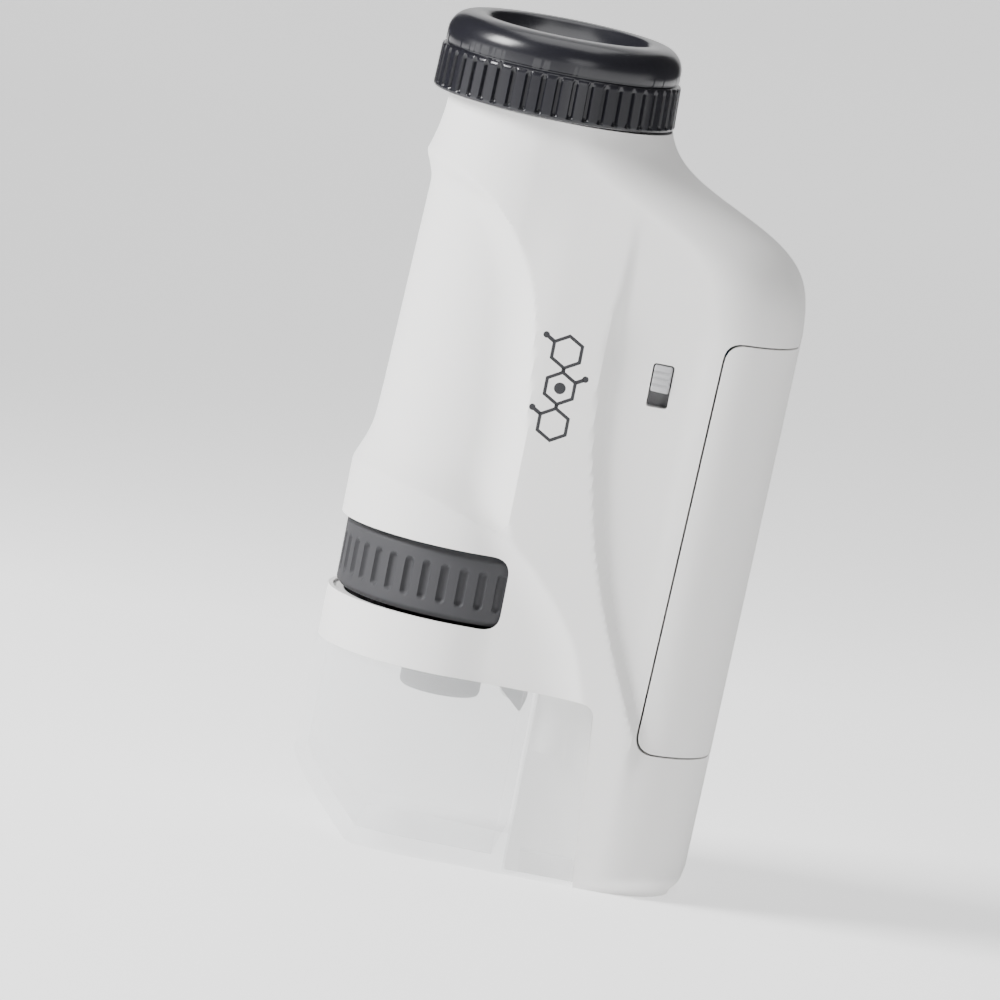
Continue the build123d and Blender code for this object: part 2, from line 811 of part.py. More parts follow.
# ================================================================ eyepiece cap
cap_low = neck_top + running_gap
cap_top = cap_low + cap_height
lens_seat = cap_top - eye_hole_height
hub_radius = sleeve_inner - glue_gap
hollow_radius = sleeve_outer + running_gap + spigot_wall + running_gap
band_top = cap_low + cap_band_height
with BuildPart() as eyepiece_cap:
    with BuildSketch(Plane.XZ):
        with BuildLine():
            Polyline(
                (eye_hole_radius, lens_seat),
                (eye_lens_radius + glue_gap, lens_seat),
                (eye_lens_radius + glue_gap, cap_low),
                (hub_radius, cap_low),
                (hub_radius, sleeve_top),
                (hollow_radius, sleeve_top),
                (hollow_radius, cap_low),
                (cap_band_radius, cap_low),
                (cap_band_radius - cap_taper, band_top),
                (cap_top_radius, band_top + cap_step),
                (cap_top_radius, cap_top - cap_corner),
            )
            corner_start = (cap_top_radius, cap_top - cap_corner)
            RadiusArc(corner_start, (cap_top_radius - cap_corner, cap_top), -cap_corner)
            Line((cap_top_radius - cap_corner, cap_top), (cap_rim_radius + 0.8, cap_top))
            funnel_middle = ((cap_rim_radius + eye_hole_radius) / 2 + 0.5, cap_top - 1.9)
            ThreePointArc((cap_rim_radius + 0.8, cap_top), funnel_middle, (eye_hole_radius, lens_seat + 1.0))
            Line((eye_hole_radius, lens_seat + 1.0), (eye_hole_radius, lens_seat))
        make_face()
    revolve(axis=Axis.Z)
    groove_middle = cap_low + cap_band_height / 2 + 0.1
    for step in range(cap_grooves):
        place = Plane.XZ.rotated((0, 0, 360 / cap_grooves * (step + 0.5)))
        with BuildSketch(place):
            with Locations((cap_band_radius, groove_middle)):
                Rectangle(2 * cap_groove_depth, cap_band_height - 0.9)
        extrude(amount=cap_groove_width / 2, both=True, mode=Mode.SUBTRACT)
save(eyepiece_cap.part, "eyepiece_cap")

eye_lens_low = lens_seat - lens_edge_gap - eye_lens_edge
eye_lens = lens_solid(eye_lens_radius, eye_lens_edge, eye_lens_crown, eye_lens_low)
save(eye_lens, "eye_lens")

ring_top = eye_lens_low - lens_edge_gap
with BuildPart() as eye_lens_ring:
    add(ring_solid(eye_lens_radius, eye_lens_radius - lens_ring_wall, cap_low + 0.2, ring_top))
save(eye_lens_ring.part, "eye_lens_ring")

# ================================================================ focus wheel and objective
wheel_low = window_low + running_gap
wheel_high = window_high - running_gap
cam_outer = tube_outer + 2 * running_gap + pin_depth_in_cam
with BuildPart() as focus_wheel:
    add(ring_solid(wheel_radius, tube_outer + running_gap, wheel_low, wheel_high))
    chamfer(focus_wheel.edges().filter_by(GeomType.CIRCLE).group_by(SortBy.RADIUS)[-1], wheel_chamfer)
    groove_floor = wheel_radius - wheel_groove_depth
    for step in range(wheel_grooves):
        angle = radians(360 / wheel_grooves * (step + 0.5))
        outward = (cos(angle), sin(angle), 0)
        place = Plane(
            origin=(groove_floor * outward[0], groove_floor * outward[1], focus_pin_height),
            x_dir=(0, 0, 1),
            z_dir=outward,
        )
        with BuildSketch(place):
            SlotOverall(wheel_groove_length, wheel_groove_width)
        extrude(amount=2 * wheel_groove_depth, mode=Mode.SUBTRACT)
    for side in (90, 270):
        add(
            cam_path(side + focus_half_turn, -2 * focus_half_turn, focus_pin_height - focus_half_travel,
                     2 * focus_half_travel, tube_outer - 0.5, cam_outer + 0.3),
            mode=Mode.SUBTRACT,
        )
save(focus_wheel.part, "focus_wheel")

with BuildPart() as objective_barrel:
    with BuildSketch(Plane.XZ):
        with BuildLine():
            Polyline(
                (objective_lens_radius + glue_gap, nose_bottom + nose_floor),
                (objective_hole, nose_bottom + nose_floor),
                (objective_hole, nose_bottom),
                (nose_radius, nose_bottom),
                (nose_radius, barrel_step),
                (barrel_radius, barrel_step),
                (barrel_radius, barrel_top),
                (barrel_radius - barrel_wall, barrel_top),
                (barrel_radius - barrel_wall, barrel_step + barrel_wall),
                (objective_lens_radius + glue_gap, barrel_step + barrel_wall),
                close=True,
            )
        make_face()
    revolve(axis=Axis.Z)
    nose_edges = objective_barrel.edges().filter_by(GeomType.CIRCLE).group_by(Axis.Z)[0]
    fillet(nose_edges.sort_by(SortBy.RADIUS)[-1], nose_round)
    add(pin_pair(focus_pin_height, barrel_radius - barrel_wall / 2, cam_outer))
save(objective_barrel.part, "objective_barrel")

lens_low = nose_bottom + nose_floor + lens_edge_gap
objective_lens = lens_solid(objective_lens_radius, objective_lens_edge, objective_lens_crown, lens_low)
save(objective_lens, "objective_lens")

stop_low = lens_low + objective_lens_edge + lens_edge_gap
with BuildPart() as objective_stop:
    add(ring_solid(objective_lens_radius, stop_hole, stop_low, stop_low + stop_height))
    add(ring_solid(objective_hole, 0, stop_low, stop_low + stop_height / 2), mode=Mode.SUBTRACT)
save(objective_stop.part, "objective_stop")

# ================================================================ lamp
lamp_middle = Vector(lamp_x, 0, lamp_z)
lamp_aim = (Vector(0, 0, specimen_z) - lamp_middle).normalized()
lamp_tip = Plane(origin=lamp_middle, z_dir=lamp_aim)
with BuildPart() as led:
    with BuildSketch(lamp_tip):
        Circle(lamp_radius)
    extrude(amount=-lamp_length / 2)
    with BuildSketch(lamp_tip):
        Circle(lamp_radius)
    extrude(amount=0.4)
    fillet(led.edges().filter_by(GeomType.CIRCLE).sort_by(Axis.Z)[0], lamp_radius * 0.6)
save(led.part, "led")

bracket_outline = [
    (bracket_front, base_height),
    (bracket_front, base_height - bracket_lip),
    (bracket_back, base_height - bracket_drop),
    (bracket_back, base_height),
]
with BuildPart() as led_bracket:
    add(side_prism(bracket_outline, reach=bracket_half_width))
    with BuildSketch(Plane.XY.offset(base_height)):
        with Locations((bracket_peg_front, 0)):
            Rectangle(peg_length, 2 * peg_half_width, align=(Align.MIN, Align.CENTER))
    extrude(amount=wall)
    with BuildSketch(lamp_tip.offset(-lamp_length / 2)):
        Circle(lamp_radius + glue_gap)
    extrude(amount=20, mode=Mode.SUBTRACT)
save(led_bracket.part, "led_bracket")

# ================================================================ switch
slider_top = switch_z + slot_height / 2 - knob_gap
wall_face = -recess_half_width
with BuildPart() as switch_slider:
    with BuildSketch(Plane(origin=(switch_x, wall_face + knob_recess, 0), x_dir=(1, 0, 0), z_dir=(0, 1, 0))):
        with Locations((0, -(slider_top - knob_height / 2))):
            Rectangle(slot_width - 2 * knob_gap, knob_height)
    extrude(amount=switch_depth)
save(switch_slider.part, "switch_slider")

# ================================================================ switch body, board and wires
switch_face = -(recess_half_width - switch_wall)
with BuildPart() as switch_body:
    with BuildSketch(Plane(origin=(switch_x, switch_face, switch_z), x_dir=(1, 0, 0), z_dir=(0, 1, 0))):
        Rectangle(2 * switch_half_x, 2 * switch_half_z)
    extrude(amount=switch_depth)
    with BuildSketch(Plane(origin=(switch_x, switch_face, switch_z), x_dir=(1, 0, 0), z_dir=(0, 1, 0))):
        Rectangle(slot_width, slot_height)
    extrude(amount=switch_depth - switch_floor, mode=Mode.SUBTRACT)
save(switch_body.part, "switch_body")

board_face = Plane(origin=(board_back, 0, (board_low + board_high) / 2), x_dir=(0, 1, 0), z_dir=(-1, 0, 0))
with BuildPart() as circuit_board:
    with BuildSketch(board_face):
        Rectangle(2 * board_half_width, board_high - board_low)
    extrude(amount=board_thickness)
save(circuit_board.part, "circuit_board")

resistor_end = (board_front - resistor_radius, -resistor_length / 2, board_high - board_margin)
with BuildPart() as resistor:
    with BuildSketch(Plane(origin=resistor_end, z_dir=(0, 1, 0))):
        Circle(resistor_radius)
    extrude(amount=resistor_length)
save(resistor.part, "resistor")

board_middle = board_back - board_thickness / 2
lamp_wire_x = bracket_peg_front + peg_length / 2
lamp_wire_top = board_low + board_margin
lamp_wire_points = [
    (lamp_wire_x, 0, plate_top + wire_radius),
    (lamp_wire_x, wire_y, plate_top + wire_radius),
    (wire_x, wire_y, plate_top + wire_radius),
    (wire_x, wire_y, lamp_wire_top),
    (board_middle, wire_y, lamp_wire_top),
    (board_middle, board_half_width, lamp_wire_top),
]
save(tube_along(lamp_wire_points, wire_radius, wire_bend), "led_wire")

switch_wire_top = switch_z - switch_half_z
switch_wire_turn = switch_wire_top - switch_wire_drop
switch_wire_points = [
    (switch_wire_x, -switch_wire_y, switch_wire_top),
    (switch_wire_x, -switch_wire_y, switch_wire_turn),
    (board_middle, -switch_wire_y, switch_wire_turn),
    (board_middle, -board_half_width, switch_wire_turn),
]
save(tube_along(switch_wire_points, wire_radius, wire_bend), "switch_wire")
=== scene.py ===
from math import atan2, cos, exp, hypot, pi, radians, sin, tanh

import bmesh
import bpy
from bpy.props import FloatProperty, FloatVectorProperty, IntProperty, PointerProperty
from mathutils import Matrix, Vector


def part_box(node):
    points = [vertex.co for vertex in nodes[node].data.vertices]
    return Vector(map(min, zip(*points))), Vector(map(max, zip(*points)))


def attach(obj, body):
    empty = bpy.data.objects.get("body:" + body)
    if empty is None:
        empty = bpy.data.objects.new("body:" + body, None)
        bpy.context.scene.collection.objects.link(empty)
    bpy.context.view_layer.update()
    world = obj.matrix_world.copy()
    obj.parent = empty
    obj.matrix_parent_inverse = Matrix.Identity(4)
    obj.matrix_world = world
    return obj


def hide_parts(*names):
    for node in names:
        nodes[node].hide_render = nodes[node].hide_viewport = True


bl_info = {
    "name": "Kids Microscope",
    "version": (1, 0, 0),
    "blender": (4, 5, 0),
    "location": "3D View > Sidebar > Microscope",
    "description": "Builds a hand-held toy microscope around its fixed CAD frame",
    "category": "Add Mesh",
}

MM = 0.001
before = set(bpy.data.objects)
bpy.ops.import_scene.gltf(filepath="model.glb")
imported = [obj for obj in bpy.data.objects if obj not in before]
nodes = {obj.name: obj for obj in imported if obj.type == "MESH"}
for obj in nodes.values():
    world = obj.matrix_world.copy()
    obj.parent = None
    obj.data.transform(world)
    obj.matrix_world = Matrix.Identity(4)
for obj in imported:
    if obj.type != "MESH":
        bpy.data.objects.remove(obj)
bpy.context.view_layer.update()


def cad_box(node):
    """Return a node's lowest and highest corners in millimetres."""
    low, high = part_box(node)
    return low / MM, high / MM


shell_low, shell_high = cad_box("left_shell")
base_low, base_high = cad_box("clear_base")
cap_low, cap_high = cad_box("eyepiece_cap")
wheel_low, wheel_high = cad_box("focus_wheel")
barrel_low, barrel_high = cad_box("objective_barrel")
bracket_high = cad_box("led_bracket")[1]
slider_low, slider_high = cad_box("switch_slider")


# ------------------------------------------------------------------ small helpers
def smooth(value):
    """Ease a value from 0 to 1."""
    value = min(1.0, max(0.0, value))
    return value * value * (3 - 2 * value)


def crisp(value, power=2.3):
    """Leave 0 at once and settle gently at 1, so that the start is an edge."""
    value = min(1.0, max(0.0, value))
    return 1 - (1 - value) ** power


def mix(a, b, share):
    """Mix two numbers."""
    return a + (b - a) * share


def curve_value(points, at):
    """Read a smooth curve through a few (at, value) points."""
    if at <= points[0][0]:
        return points[0][1]
    for index in range(1, len(points)):
        if at <= points[index][0]:
            break
    else:
        return points[-1][1]
    before = points[max(index - 2, 0)]
    start, end = points[index - 1], points[index]
    after = points[min(index + 1, len(points) - 1)]
    span = end[0] - start[0]
    slope_start = (end[1] - before[1]) / (end[0] - before[0])
    slope_end = (after[1] - start[1]) / (after[0] - start[0])
    t = (at - start[0]) / span
    hermite = (2 * t**3 - 3 * t**2 + 1) * start[1] + (t**3 - 2 * t**2 + t) * span * slope_start
    return hermite + (3 * t**2 - 2 * t**3) * end[1] + (t**3 - t**2) * span * slope_end


# ------------------------------------------------------------------ form of the casing, in millimetres
NECK_TOP = cap_low.z - 0.3
NECK_RADIUS = 13.2
NECK_BACK = 15.4
SHOULDER_HEIGHT = 22.6
SHOULDER_BASE = NECK_TOP - SHOULDER_HEIGHT
SHOULDER_MIDDLE = 0.375
SHOULDER_SHARPNESS = 4.2
COLLAR_RADIUS = -shell_low.x
BACK_REACH = shell_high.x
BACK_DRAFT = 1.4
BACK_HALF_WIDTH = 15.0
BACK_CORNER = 11.0
FOOT_DRAW = 1.3
FOOT_HEIGHT = 3.2
BASE_TOP = base_high.z
BASE_RADIUS = -base_low.x
WALL = 2.0
SCOOP_TOP = NECK_TOP - 8.6
SCOOP_FOOT = 45.6
CREST_WIDTH = 6.5
BAND_SINK = 0.75
PANEL_RISE = 0.5
GRIP_SINK = 0.95

# Where the plan's front arc, its straight side and its back corner end, as shares of the way round.
FRONT_SHARE = 0.38
SIDE_SHARE = 0.74
CORNER_SHARE = 0.96

# Top edge of the collar, as (x, z).
COLLAR_LINE = [
    (-17.0, 46.2), (-12.2, 46.2), (-5.4, 45.4), (1.0, 43.6), (5.3, 42.0),
    (10.0, 38.5), (13.9, 34.1), (16.8, 29.5), (19.0, 23.4),
]
# Rear edge of the scoop, as (z, x).
CREST_LINE = [
    (23.4, 19.0), (29.5, 16.8), (34.1, 13.9), (38.5, 10.0), (42.3, 6.0), (48.0, 5.4), (55.0, 5.4),
    (62.6, 4.7), (69.8, 3.8), (74.5, 2.4), (78.5, 0.2), (82.5, -3.2), (86.0, -8.5),
]
# Front edge of the sunk grip, as (z, x).
RIDGE_LINE = [
    (20.6, 25.8), (28.0, 22.4), (33.3, 20.1), (39.1, 17.9), (45.0, 16.1),
    (51.6, 14.6), (56.6, 13.7), (63.3, 13.1), (69.6, 12.9), (76.0, 13.4),
]
# Front edge of the battery cover, from its lower to its upper end, as (x, z).
COVER_SEAM = [(26.3, 18.3), (27.8, 71.8)]


def shoulder_share(z):
    """Return 1 on the straight grip, falling to 0 at the top of the neck."""
    if z <= SHOULDER_BASE:
        return 1.0
    drop = (NECK_TOP - z) / SHOULDER_HEIGHT
    low = tanh(-SHOULDER_MIDDLE * SHOULDER_SHARPNESS)
    high = tanh((1 - SHOULDER_MIDDLE) * SHOULDER_SHARPNESS)
    return (tanh((drop - SHOULDER_MIDDLE) * SHOULDER_SHARPNESS) - low) / (high - low)


def plan_sizes(z, front_radius, inset=0.0):
    """Return the casing's front radius, side half width, back reach and back corner radius at a height."""
    share = shoulder_share(z)
    back = BACK_REACH - BACK_DRAFT * (1 - min(z, SHOULDER_BASE) / SHOULDER_BASE)
    foot = FOOT_DRAW * (1 - smooth(z / FOOT_HEIGHT)) ** 2
    top_half = NECK_RADIUS - 0.1
    return (
        mix(NECK_RADIUS, front_radius, share) - inset,
        mix(top_half, BACK_HALF_WIDTH, share) - 0.5 * foot - inset,
        mix(NECK_BACK, back, share) - foot - inset,
        mix(top_half - 0.1, BACK_CORNER, share) - inset,
    )


def plain_point(share, z, inset=0.0, front_radius=COLLAR_RADIUS):
    """Return a point of the plain plan at a height, from the front (0) to the back (1)."""
    front, side, back, corner = plan_sizes(z, front_radius, inset)
    if share <= FRONT_SHARE:
        angle = pi / 2 * share / FRONT_SHARE
        return -front * cos(angle), front * sin(angle)
    if share <= SIDE_SHARE:
        t = (share - FRONT_SHARE) / (SIDE_SHARE - FRONT_SHARE)
        return mix(0, back - corner, t), mix(front, side, smooth(t) * 0.35 + t * 0.65)
    if share <= CORNER_SHARE:
        angle = pi / 2 * (share - SIDE_SHARE) / (CORNER_SHARE - SIDE_SHARE)
        return back - corner + corner * sin(angle), side - corner + corner * cos(angle)
    return back, mix(side - corner, 0, (share - CORNER_SHARE) / (1 - CORNER_SHARE))


def base_point(share, z, inset=0.0):
    """Return a point of the clear base's outer form."""
    return plain_point(share, z, inset, BASE_RADIUS)


def scoop_front(z):
    """Return how far the front of the scoop stands from the optical axis."""
    return 13.3 + 1.4 * (SCOOP_TOP - z) / (SCOOP_TOP - SCOOP_FOOT) + 1.5 * exp(-max(z - SCOOP_FOOT, 0) / 2.4)


def casing_point(share, z, inset=0.0):
    """Return a point of the sculpted casing at a height, drawn in by inset."""
    x, y = plain_point(share, z, inset)
    crest = curve_value(CREST_LINE, z) + inset
    collar = curve_value(COLLAR_LINE, x) - inset
    before_crest = crisp((crest - x) / CREST_WIDTH)
    past_crest = 1 - before_crest
    behind_ridge = smooth((x - curve_value(RIDGE_LINE, z)) / 1.5)
    ridge_fade = smooth((77.0 - z) / 9.0) * smooth((z - 15.0) / 6.0)
    back_fade = 1 - smooth((x - 24.0) / 9.0)
    side_part = smooth((x - 0.5) / 6.0)
    # The side sinks below the collar's edge, stands out on the panel and sinks again for the grip.
    if z < collar:
        y -= BAND_SINK * side_part * (1 - past_crest) * (1 - smooth((x - crest) / 2.0))
    panel = past_crest * side_part * smooth((SHOULDER_BASE + 16.0 - z) / 14.0) * smooth((z - 8.0) / 14.0)
    y += PANEL_RISE * panel * (1 - behind_ridge) * back_fade
    y -= GRIP_SINK * behind_ridge * ridge_fade * back_fade
    above = crisp((z - collar) / 7.0, 2.6)
    below = crisp((SCOOP_TOP + 0.6 + inset - z) / 4.0, 2.0)
    scoop = above * below * before_crest
    # In the scoop the point moves onto an upright tube as wide as the neck.
    if scoop > 0:
        radius = NECK_RADIUS - inset
        centre = NECK_RADIUS - scoop_front(z)
        length = max(hypot(x - centre, y), 1e-6)
        x = mix(x, centre + (x - centre) / length * radius, scoop)
        y = mix(y, y / length * radius, scoop)
    return x, y


# ------------------------------------------------------------------ mesh helpers
def new_object(name, mesh_data):
    """Turn a bmesh in metres into an object in the scene."""
    data = bpy.data.meshes.new(name)
    mesh_data.to_mesh(data)
    mesh_data.free()
    thing = bpy.data.objects.new(name, data)
    bpy.context.scene.collection.objects.link(thing)
    return thing


def new_piece(name, mesh_data, body, slot, replaced=(), angle=None):
    """Turn a bmesh in millimetres into a finished piece that rides on a body, smooth up to an angle."""
    bmesh.ops.scale(mesh_data, vec=(MM, MM, MM), verts=mesh_data.verts)
    piece = new_object(name, mesh_data)
    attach(piece, body)
    if replaced:
        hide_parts(*replaced)
    if angle:
        shade(piece, angle)
    return paint(piece, slot_material(slot))


def shade(piece, angle=32):
    """Shade a piece smooth, keeping edges sharper than an angle in degrees."""
    piece.data.polygons.foreach_set("use_smooth", [True] * len(piece.data.polygons))
    piece.data.set_sharp_from_angle(angle=radians(angle))
    return piece


def clean(mesh_data, distance=0.0005):
    """Merge doubles and point the faces outwards."""
    bmesh.ops.remove_doubles(mesh_data, verts=mesh_data.verts, dist=distance)
    bmesh.ops.recalc_face_normals(mesh_data, faces=mesh_data.faces)


def quarter(steps):
    """Return angles spaced evenly from 0 to a right angle, both included."""
    return [step / steps * pi / 2 for step in range(steps + 1)]


def spun(profile, steps, closed=True, axis="Z", centre=(0, 0, 0)):
    """Spin a side profile of (radius, height) points about an axis through a centre."""
    turned = bmesh.new()
    x, y, z = centre
    if axis == "Z":
        points = [turned.verts.new((x + radius, y, z + height)) for radius, height in profile]
    else:
        points = [turned.verts.new((x + radius, y + height, z)) for radius, height in profile]
    ends = points[1:] + (points[:1] if closed else [])
    edges = [turned.edges.new(pair) for pair in zip(points, ends)]
    turn_axis = (0, 0, 1) if axis == "Z" else (0, 1, 0)
    bmesh.ops.spin(
        turned, geom=points + edges, axis=turn_axis, cent=centre, steps=steps, angle=2 * pi, use_merge=True
    )
    clean(turned)
    return turned


def rounded(points, radii, segments=5):
    """Round the corners of a closed side profile, each with its own radius."""
    outline = []
    count = len(points)
    for index, point in enumerate(points):
        here = Vector(point)
        before = Vector(points[index - 1]) - here
        after = Vector(points[(index + 1) % count]) - here
        radius = radii[index]
        if radius == 0:
            outline.append(tuple(here))
            continue
        half = before.angle(after) / 2
        reach = radius / max(sin(half) / cos(half), 1e-6)
        start = here + before.normalized() * reach
        end = here + after.normalized() * reach
        for step in range(segments + 1):
            t = step / segments
            outline.append(tuple(start * (1 - t) ** 2 + here * 2 * t * (1 - t) + end * t**2))
    return outline


def prism(outline, low, high, axis="Y"):
    """Stand a flat outline up as a closed prism along an axis."""
    solid = bmesh.new()
    if axis == "Y":
        points = [solid.verts.new((a, low, b)) for a, b in outline]
    else:
        points = [solid.verts.new((a, b, low)) for a, b in outline]
    face = solid.faces.new(points)
    rise = (0, high - low, 0) if axis == "Y" else (0, 0, high - low)
    grown = bmesh.ops.extrude_face_region(solid, geom=[face])
    moved = [item for item in grown["geom"] if isinstance(item, bmesh.types.BMVert)]
    bmesh.ops.translate(solid, vec=rise, verts=moved)
    bmesh.ops.recalc_face_normals(solid, faces=solid.faces)
    return solid


def rod(start, end, radius, segments=32):
    """Return a round bar between two points."""
    bar = bmesh.new()
    line = Vector(end) - Vector(start)
    bmesh.ops.create_cone(
        bar, cap_ends=True, segments=segments, radius1=radius, radius2=radius, depth=line.length
    )
    turn = line.to_track_quat("Z", "Y").to_matrix().to_4x4()
    middle = (Vector(start) + Vector(end)) / 2
    bmesh.ops.transform(bar, matrix=Matrix.Translation(middle) @ turn, verts=bar.verts)
    return bar


def joined(*parts):
    """Put several bmeshes into one."""
    whole = bmesh.new()
    for part in parts:
        data = bpy.data.meshes.new("part")
        part.to_mesh(data)
        part.free()
        whole.from_mesh(data)
        bpy.data.meshes.remove(data)
    return whole


def carve(solid, tool, operation="DIFFERENCE"):
    """Apply an exact boolean of two bmeshes and return the result."""
    objects = []
    for shape in (solid, tool):
        data = bpy.data.meshes.new("carve")
        shape.to_mesh(data)
        shape.free()
        thing = bpy.data.objects.new("carve", data)
        bpy.context.scene.collection.objects.link(thing)
        objects.append(thing)
    modifier = objects[0].modifiers.new("carve", "BOOLEAN")
    modifier.object = objects[1]
    modifier.operation = operation
    modifier.solver = "EXACT"
    graph = bpy.context.evaluated_depsgraph_get()
    result = bmesh.new()
    result.from_mesh(objects[0].evaluated_get(graph).to_mesh())
    for thing in objects:
        data = thing.data
        bpy.data.objects.remove(thing)
        bpy.data.meshes.remove(data)
    return result


def half_volume(point, side, inset, low, high, rows, columns, gap=0.0):
    """Return one half of a form as a closed volume between two heights, its flat face at the middle."""
    volume = bmesh.new()
    bmesh.ops.create_grid(volume, x_segments=columns, y_segments=rows, size=1.0)
    places = {}
    for vert in volume.verts:
        column = round((vert.co.x + 1) / 2 * columns)
        row = round((vert.co.y + 1) / 2 * rows)
        places[column, row] = vert
        z = mix(low, high, row / rows)
        x, y = point(column / columns, z, inset)
        vert.co = (x, side * (max(y, 0.0) + gap), z)
    for row in (0, rows):
        volume.faces.new([places[column, row] for column in range(columns + 1)])
    front = [places[0, row] for row in range(rows + 1)]
    back = [places[columns, row] for row in range(rows, -1, -1)]
    volume.faces.new(front + back)
    bmesh.ops.recalc_face_normals(volume, faces=volume.faces)
    return volume


def whole_volume(point, inset, low, high, rows, columns):
    """Return a whole form as a closed volume between two heights."""
    volume = bmesh.new()
    bmesh.ops.create_grid(volume, x_segments=2 * columns, y_segments=rows, size=1.0)
    for vert in volume.verts:
        around = vert.co.x
        z = mix(low, high, (vert.co.y + 1) / 2)
        x, y = point(1 - abs(around), z, inset)
        vert.co = (x, -y if around < 0 else y, z)
    bmesh.ops.remove_doubles(volume, verts=volume.verts, dist=0.0005)
    middle = (low + high) / 2
    rims = [edge for edge in volume.edges if edge.is_boundary]
    for upper in (False, True):
        ring = [edge for edge in rims if (edge.verts[0].co.z > middle) == upper]
        bmesh.ops.contextual_create(volume, geom=ring)
    bmesh.ops.recalc_face_normals(volume, faces=volume.faces)
    return volume


def block(low, high):
    """Return a box between two corners."""
    solid = bmesh.new()
    bmesh.ops.create_cube(solid, size=1.0)
    size = Vector(high) - Vector(low)
    bmesh.ops.scale(solid, vec=size, verts=solid.verts)
    bmesh.ops.translate(solid, vec=(Vector(high) + Vector(low)) / 2, verts=solid.verts)
    return solid


def soften(mesh_data, width, segments=3, angle=35):
    """Bevel every edge sharper than an angle in degrees."""
    limit = radians(angle)
    edges = [edge for edge in mesh_data.edges if edge.is_manifold and edge.calc_face_angle(0) > limit]
    bmesh.ops.bevel(
        mesh_data, geom=edges, offset=width, affect="EDGES", segments=segments, profile=0.5, material=-1,
        clamp_overlap=True,
    )
    return mesh_data


def merged(parts):
    """Return the exact union of several bmeshes."""
    whole = parts[0]
    for part in parts[1:]:
        whole = carve(whole, part, "UNION")
    return whole


# ------------------------------------------------------------------ shader helpers
class Wire:
    """A shader socket whose operators add Math nodes."""

    def __init__(self, graph, socket):
        self.graph = graph
        self.socket = socket

    def maths(self, operation, *values):
        """Add a Math node that works on the values and return its output."""
        inputs = {index: value for index, value in enumerate(values)}
        return self.graph.add("ShaderNodeMath", {"operation": operation}, inputs)

    def __add__(self, other):
        return self.maths("ADD", self, other)

    def __radd__(self, other):
        return self.maths("ADD", other, self)

    def __mul__(self, other):
        return self.maths("MULTIPLY", self, other)

    def __rmul__(self, other):
        return self.maths("MULTIPLY", other, self)


class Graph:
    """A material's node tree, built by adding nodes."""

    def __init__(self, name):
        self.material = bpy.data.materials.new(name)
        self.material.use_nodes = True
        self.tree = self.material.node_tree
        self.tree.nodes.clear()

    def add(self, kind, settings=None, inputs=None, output=0):
        """Add a node, set it up, feed its sockets and return one output as a Wire."""
        node = self.tree.nodes.new(kind)
        for key, value in (settings or {}).items():
            if key == "stops":
                self.set_stops(node.color_ramp, value)
            else:
                setattr(node, key, value)
        for key, value in (inputs or {}).items():
            if isinstance(value, Wire):
                self.tree.links.new(value.socket, node.inputs[key])
            else:
                node.inputs[key].default_value = value
        return Wire(self, node.outputs[output])

    def set_stops(self, ramp, stops):
        """Set a colour ramp to a list of (position, colour) stops."""
        while len(ramp.elements) < len(stops):
            ramp.elements.new(0.5)
        for element, (position, colour) in zip(ramp.elements, stops):
            element.position = position
            element.color = colour

    def place(self, scale):
        """Return object coordinates times a scale for each axis."""
        where = self.add("ShaderNodeTexCoord", output="Object")
        return self.add("ShaderNodeMapping", inputs={"Vector": where, "Scale": scale})

    def noise(self, size, detail=3.0, roughness=0.5, stretch=(1, 1, 1)):
        """Return noise whose lumps are about size millimetres."""
        place = self.place([share / (size * MM) for share in stretch])
        inputs = {"Vector": place, "Scale": 1.0, "Detail": detail, "Roughness": roughness}
        return self.add("ShaderNodeTexNoise", inputs=inputs)

    def part_of(self, value, low, high, out_low, out_high):
        """Map a value from one range to another, held at both ends."""
        inputs = {0: value, 1: low, 2: high, 3: out_low, 4: out_high}
        return self.add("ShaderNodeMapRange", {"clamp": True}, inputs)

    def colours(self, share, first, second):
        """Mix two colours by a share."""
        inputs = {"Factor": share, "A": first, "B": second}
        return self.add("ShaderNodeMix", {"data_type": "RGBA"}, inputs, output=2)

    def bump(self, height, depth, strength=1.0):
        """Return a normal bumped by a height of depth millimetres."""
        inputs = {"Height": height, "Distance": depth * MM, "Strength": strength}
        return self.add("ShaderNodeBump", inputs=inputs)

    def shader(self, **inputs):
        """Add the Principled shader, with spaces in socket names given as underscores."""
        named = {key.replace("_", " "): value for key, value in inputs.items()}
        return self.add("ShaderNodeBsdfPrincipled", inputs=named)

    def finish(self, shader):
        """Link a shader to the output and return the material."""
        output = self.tree.nodes.new("ShaderNodeOutputMaterial")
        self.tree.links.new(shader.socket, output.inputs["Surface"])
        return self.material


def rgb(colour):
    """Return a colour with full alpha."""
    return (*colour[:3], 1.0)


def tint(colour, share):
    """Return a colour lighter or darker by a share."""
    return rgb([min(1.0, channel * share) for channel in colour])


def moulded(name, colour, roughness, grain=0.35, relief=0.004, mottle=0.03, shine=0.5):
    """Moulded plastic: faint flow mottling, a fine grain and slightly uneven gloss."""
    graph = Graph(name)
    flow = graph.noise(14.0, 4.0, 0.55, stretch=(1, 1, 0.45))
    fine = graph.noise(grain, 2.0)
    smear = graph.noise(5.0, 5.0, 0.6)
    shade_share = graph.part_of(flow, 0.3, 0.7, 0.0, 1.0)
    base = graph.colours(shade_share, tint(colour, 1 - mottle), tint(colour, 1 + mottle))
    gloss = graph.part_of(smear, 0.3, 0.75, roughness * 0.85, roughness * 1.2)
    normal = graph.bump(fine + 0.35 * flow, relief)
    return graph.finish(
        graph.shader(Base_Color=base, Roughness=gloss, Normal=normal, Specular_IOR_Level=shine)
    )


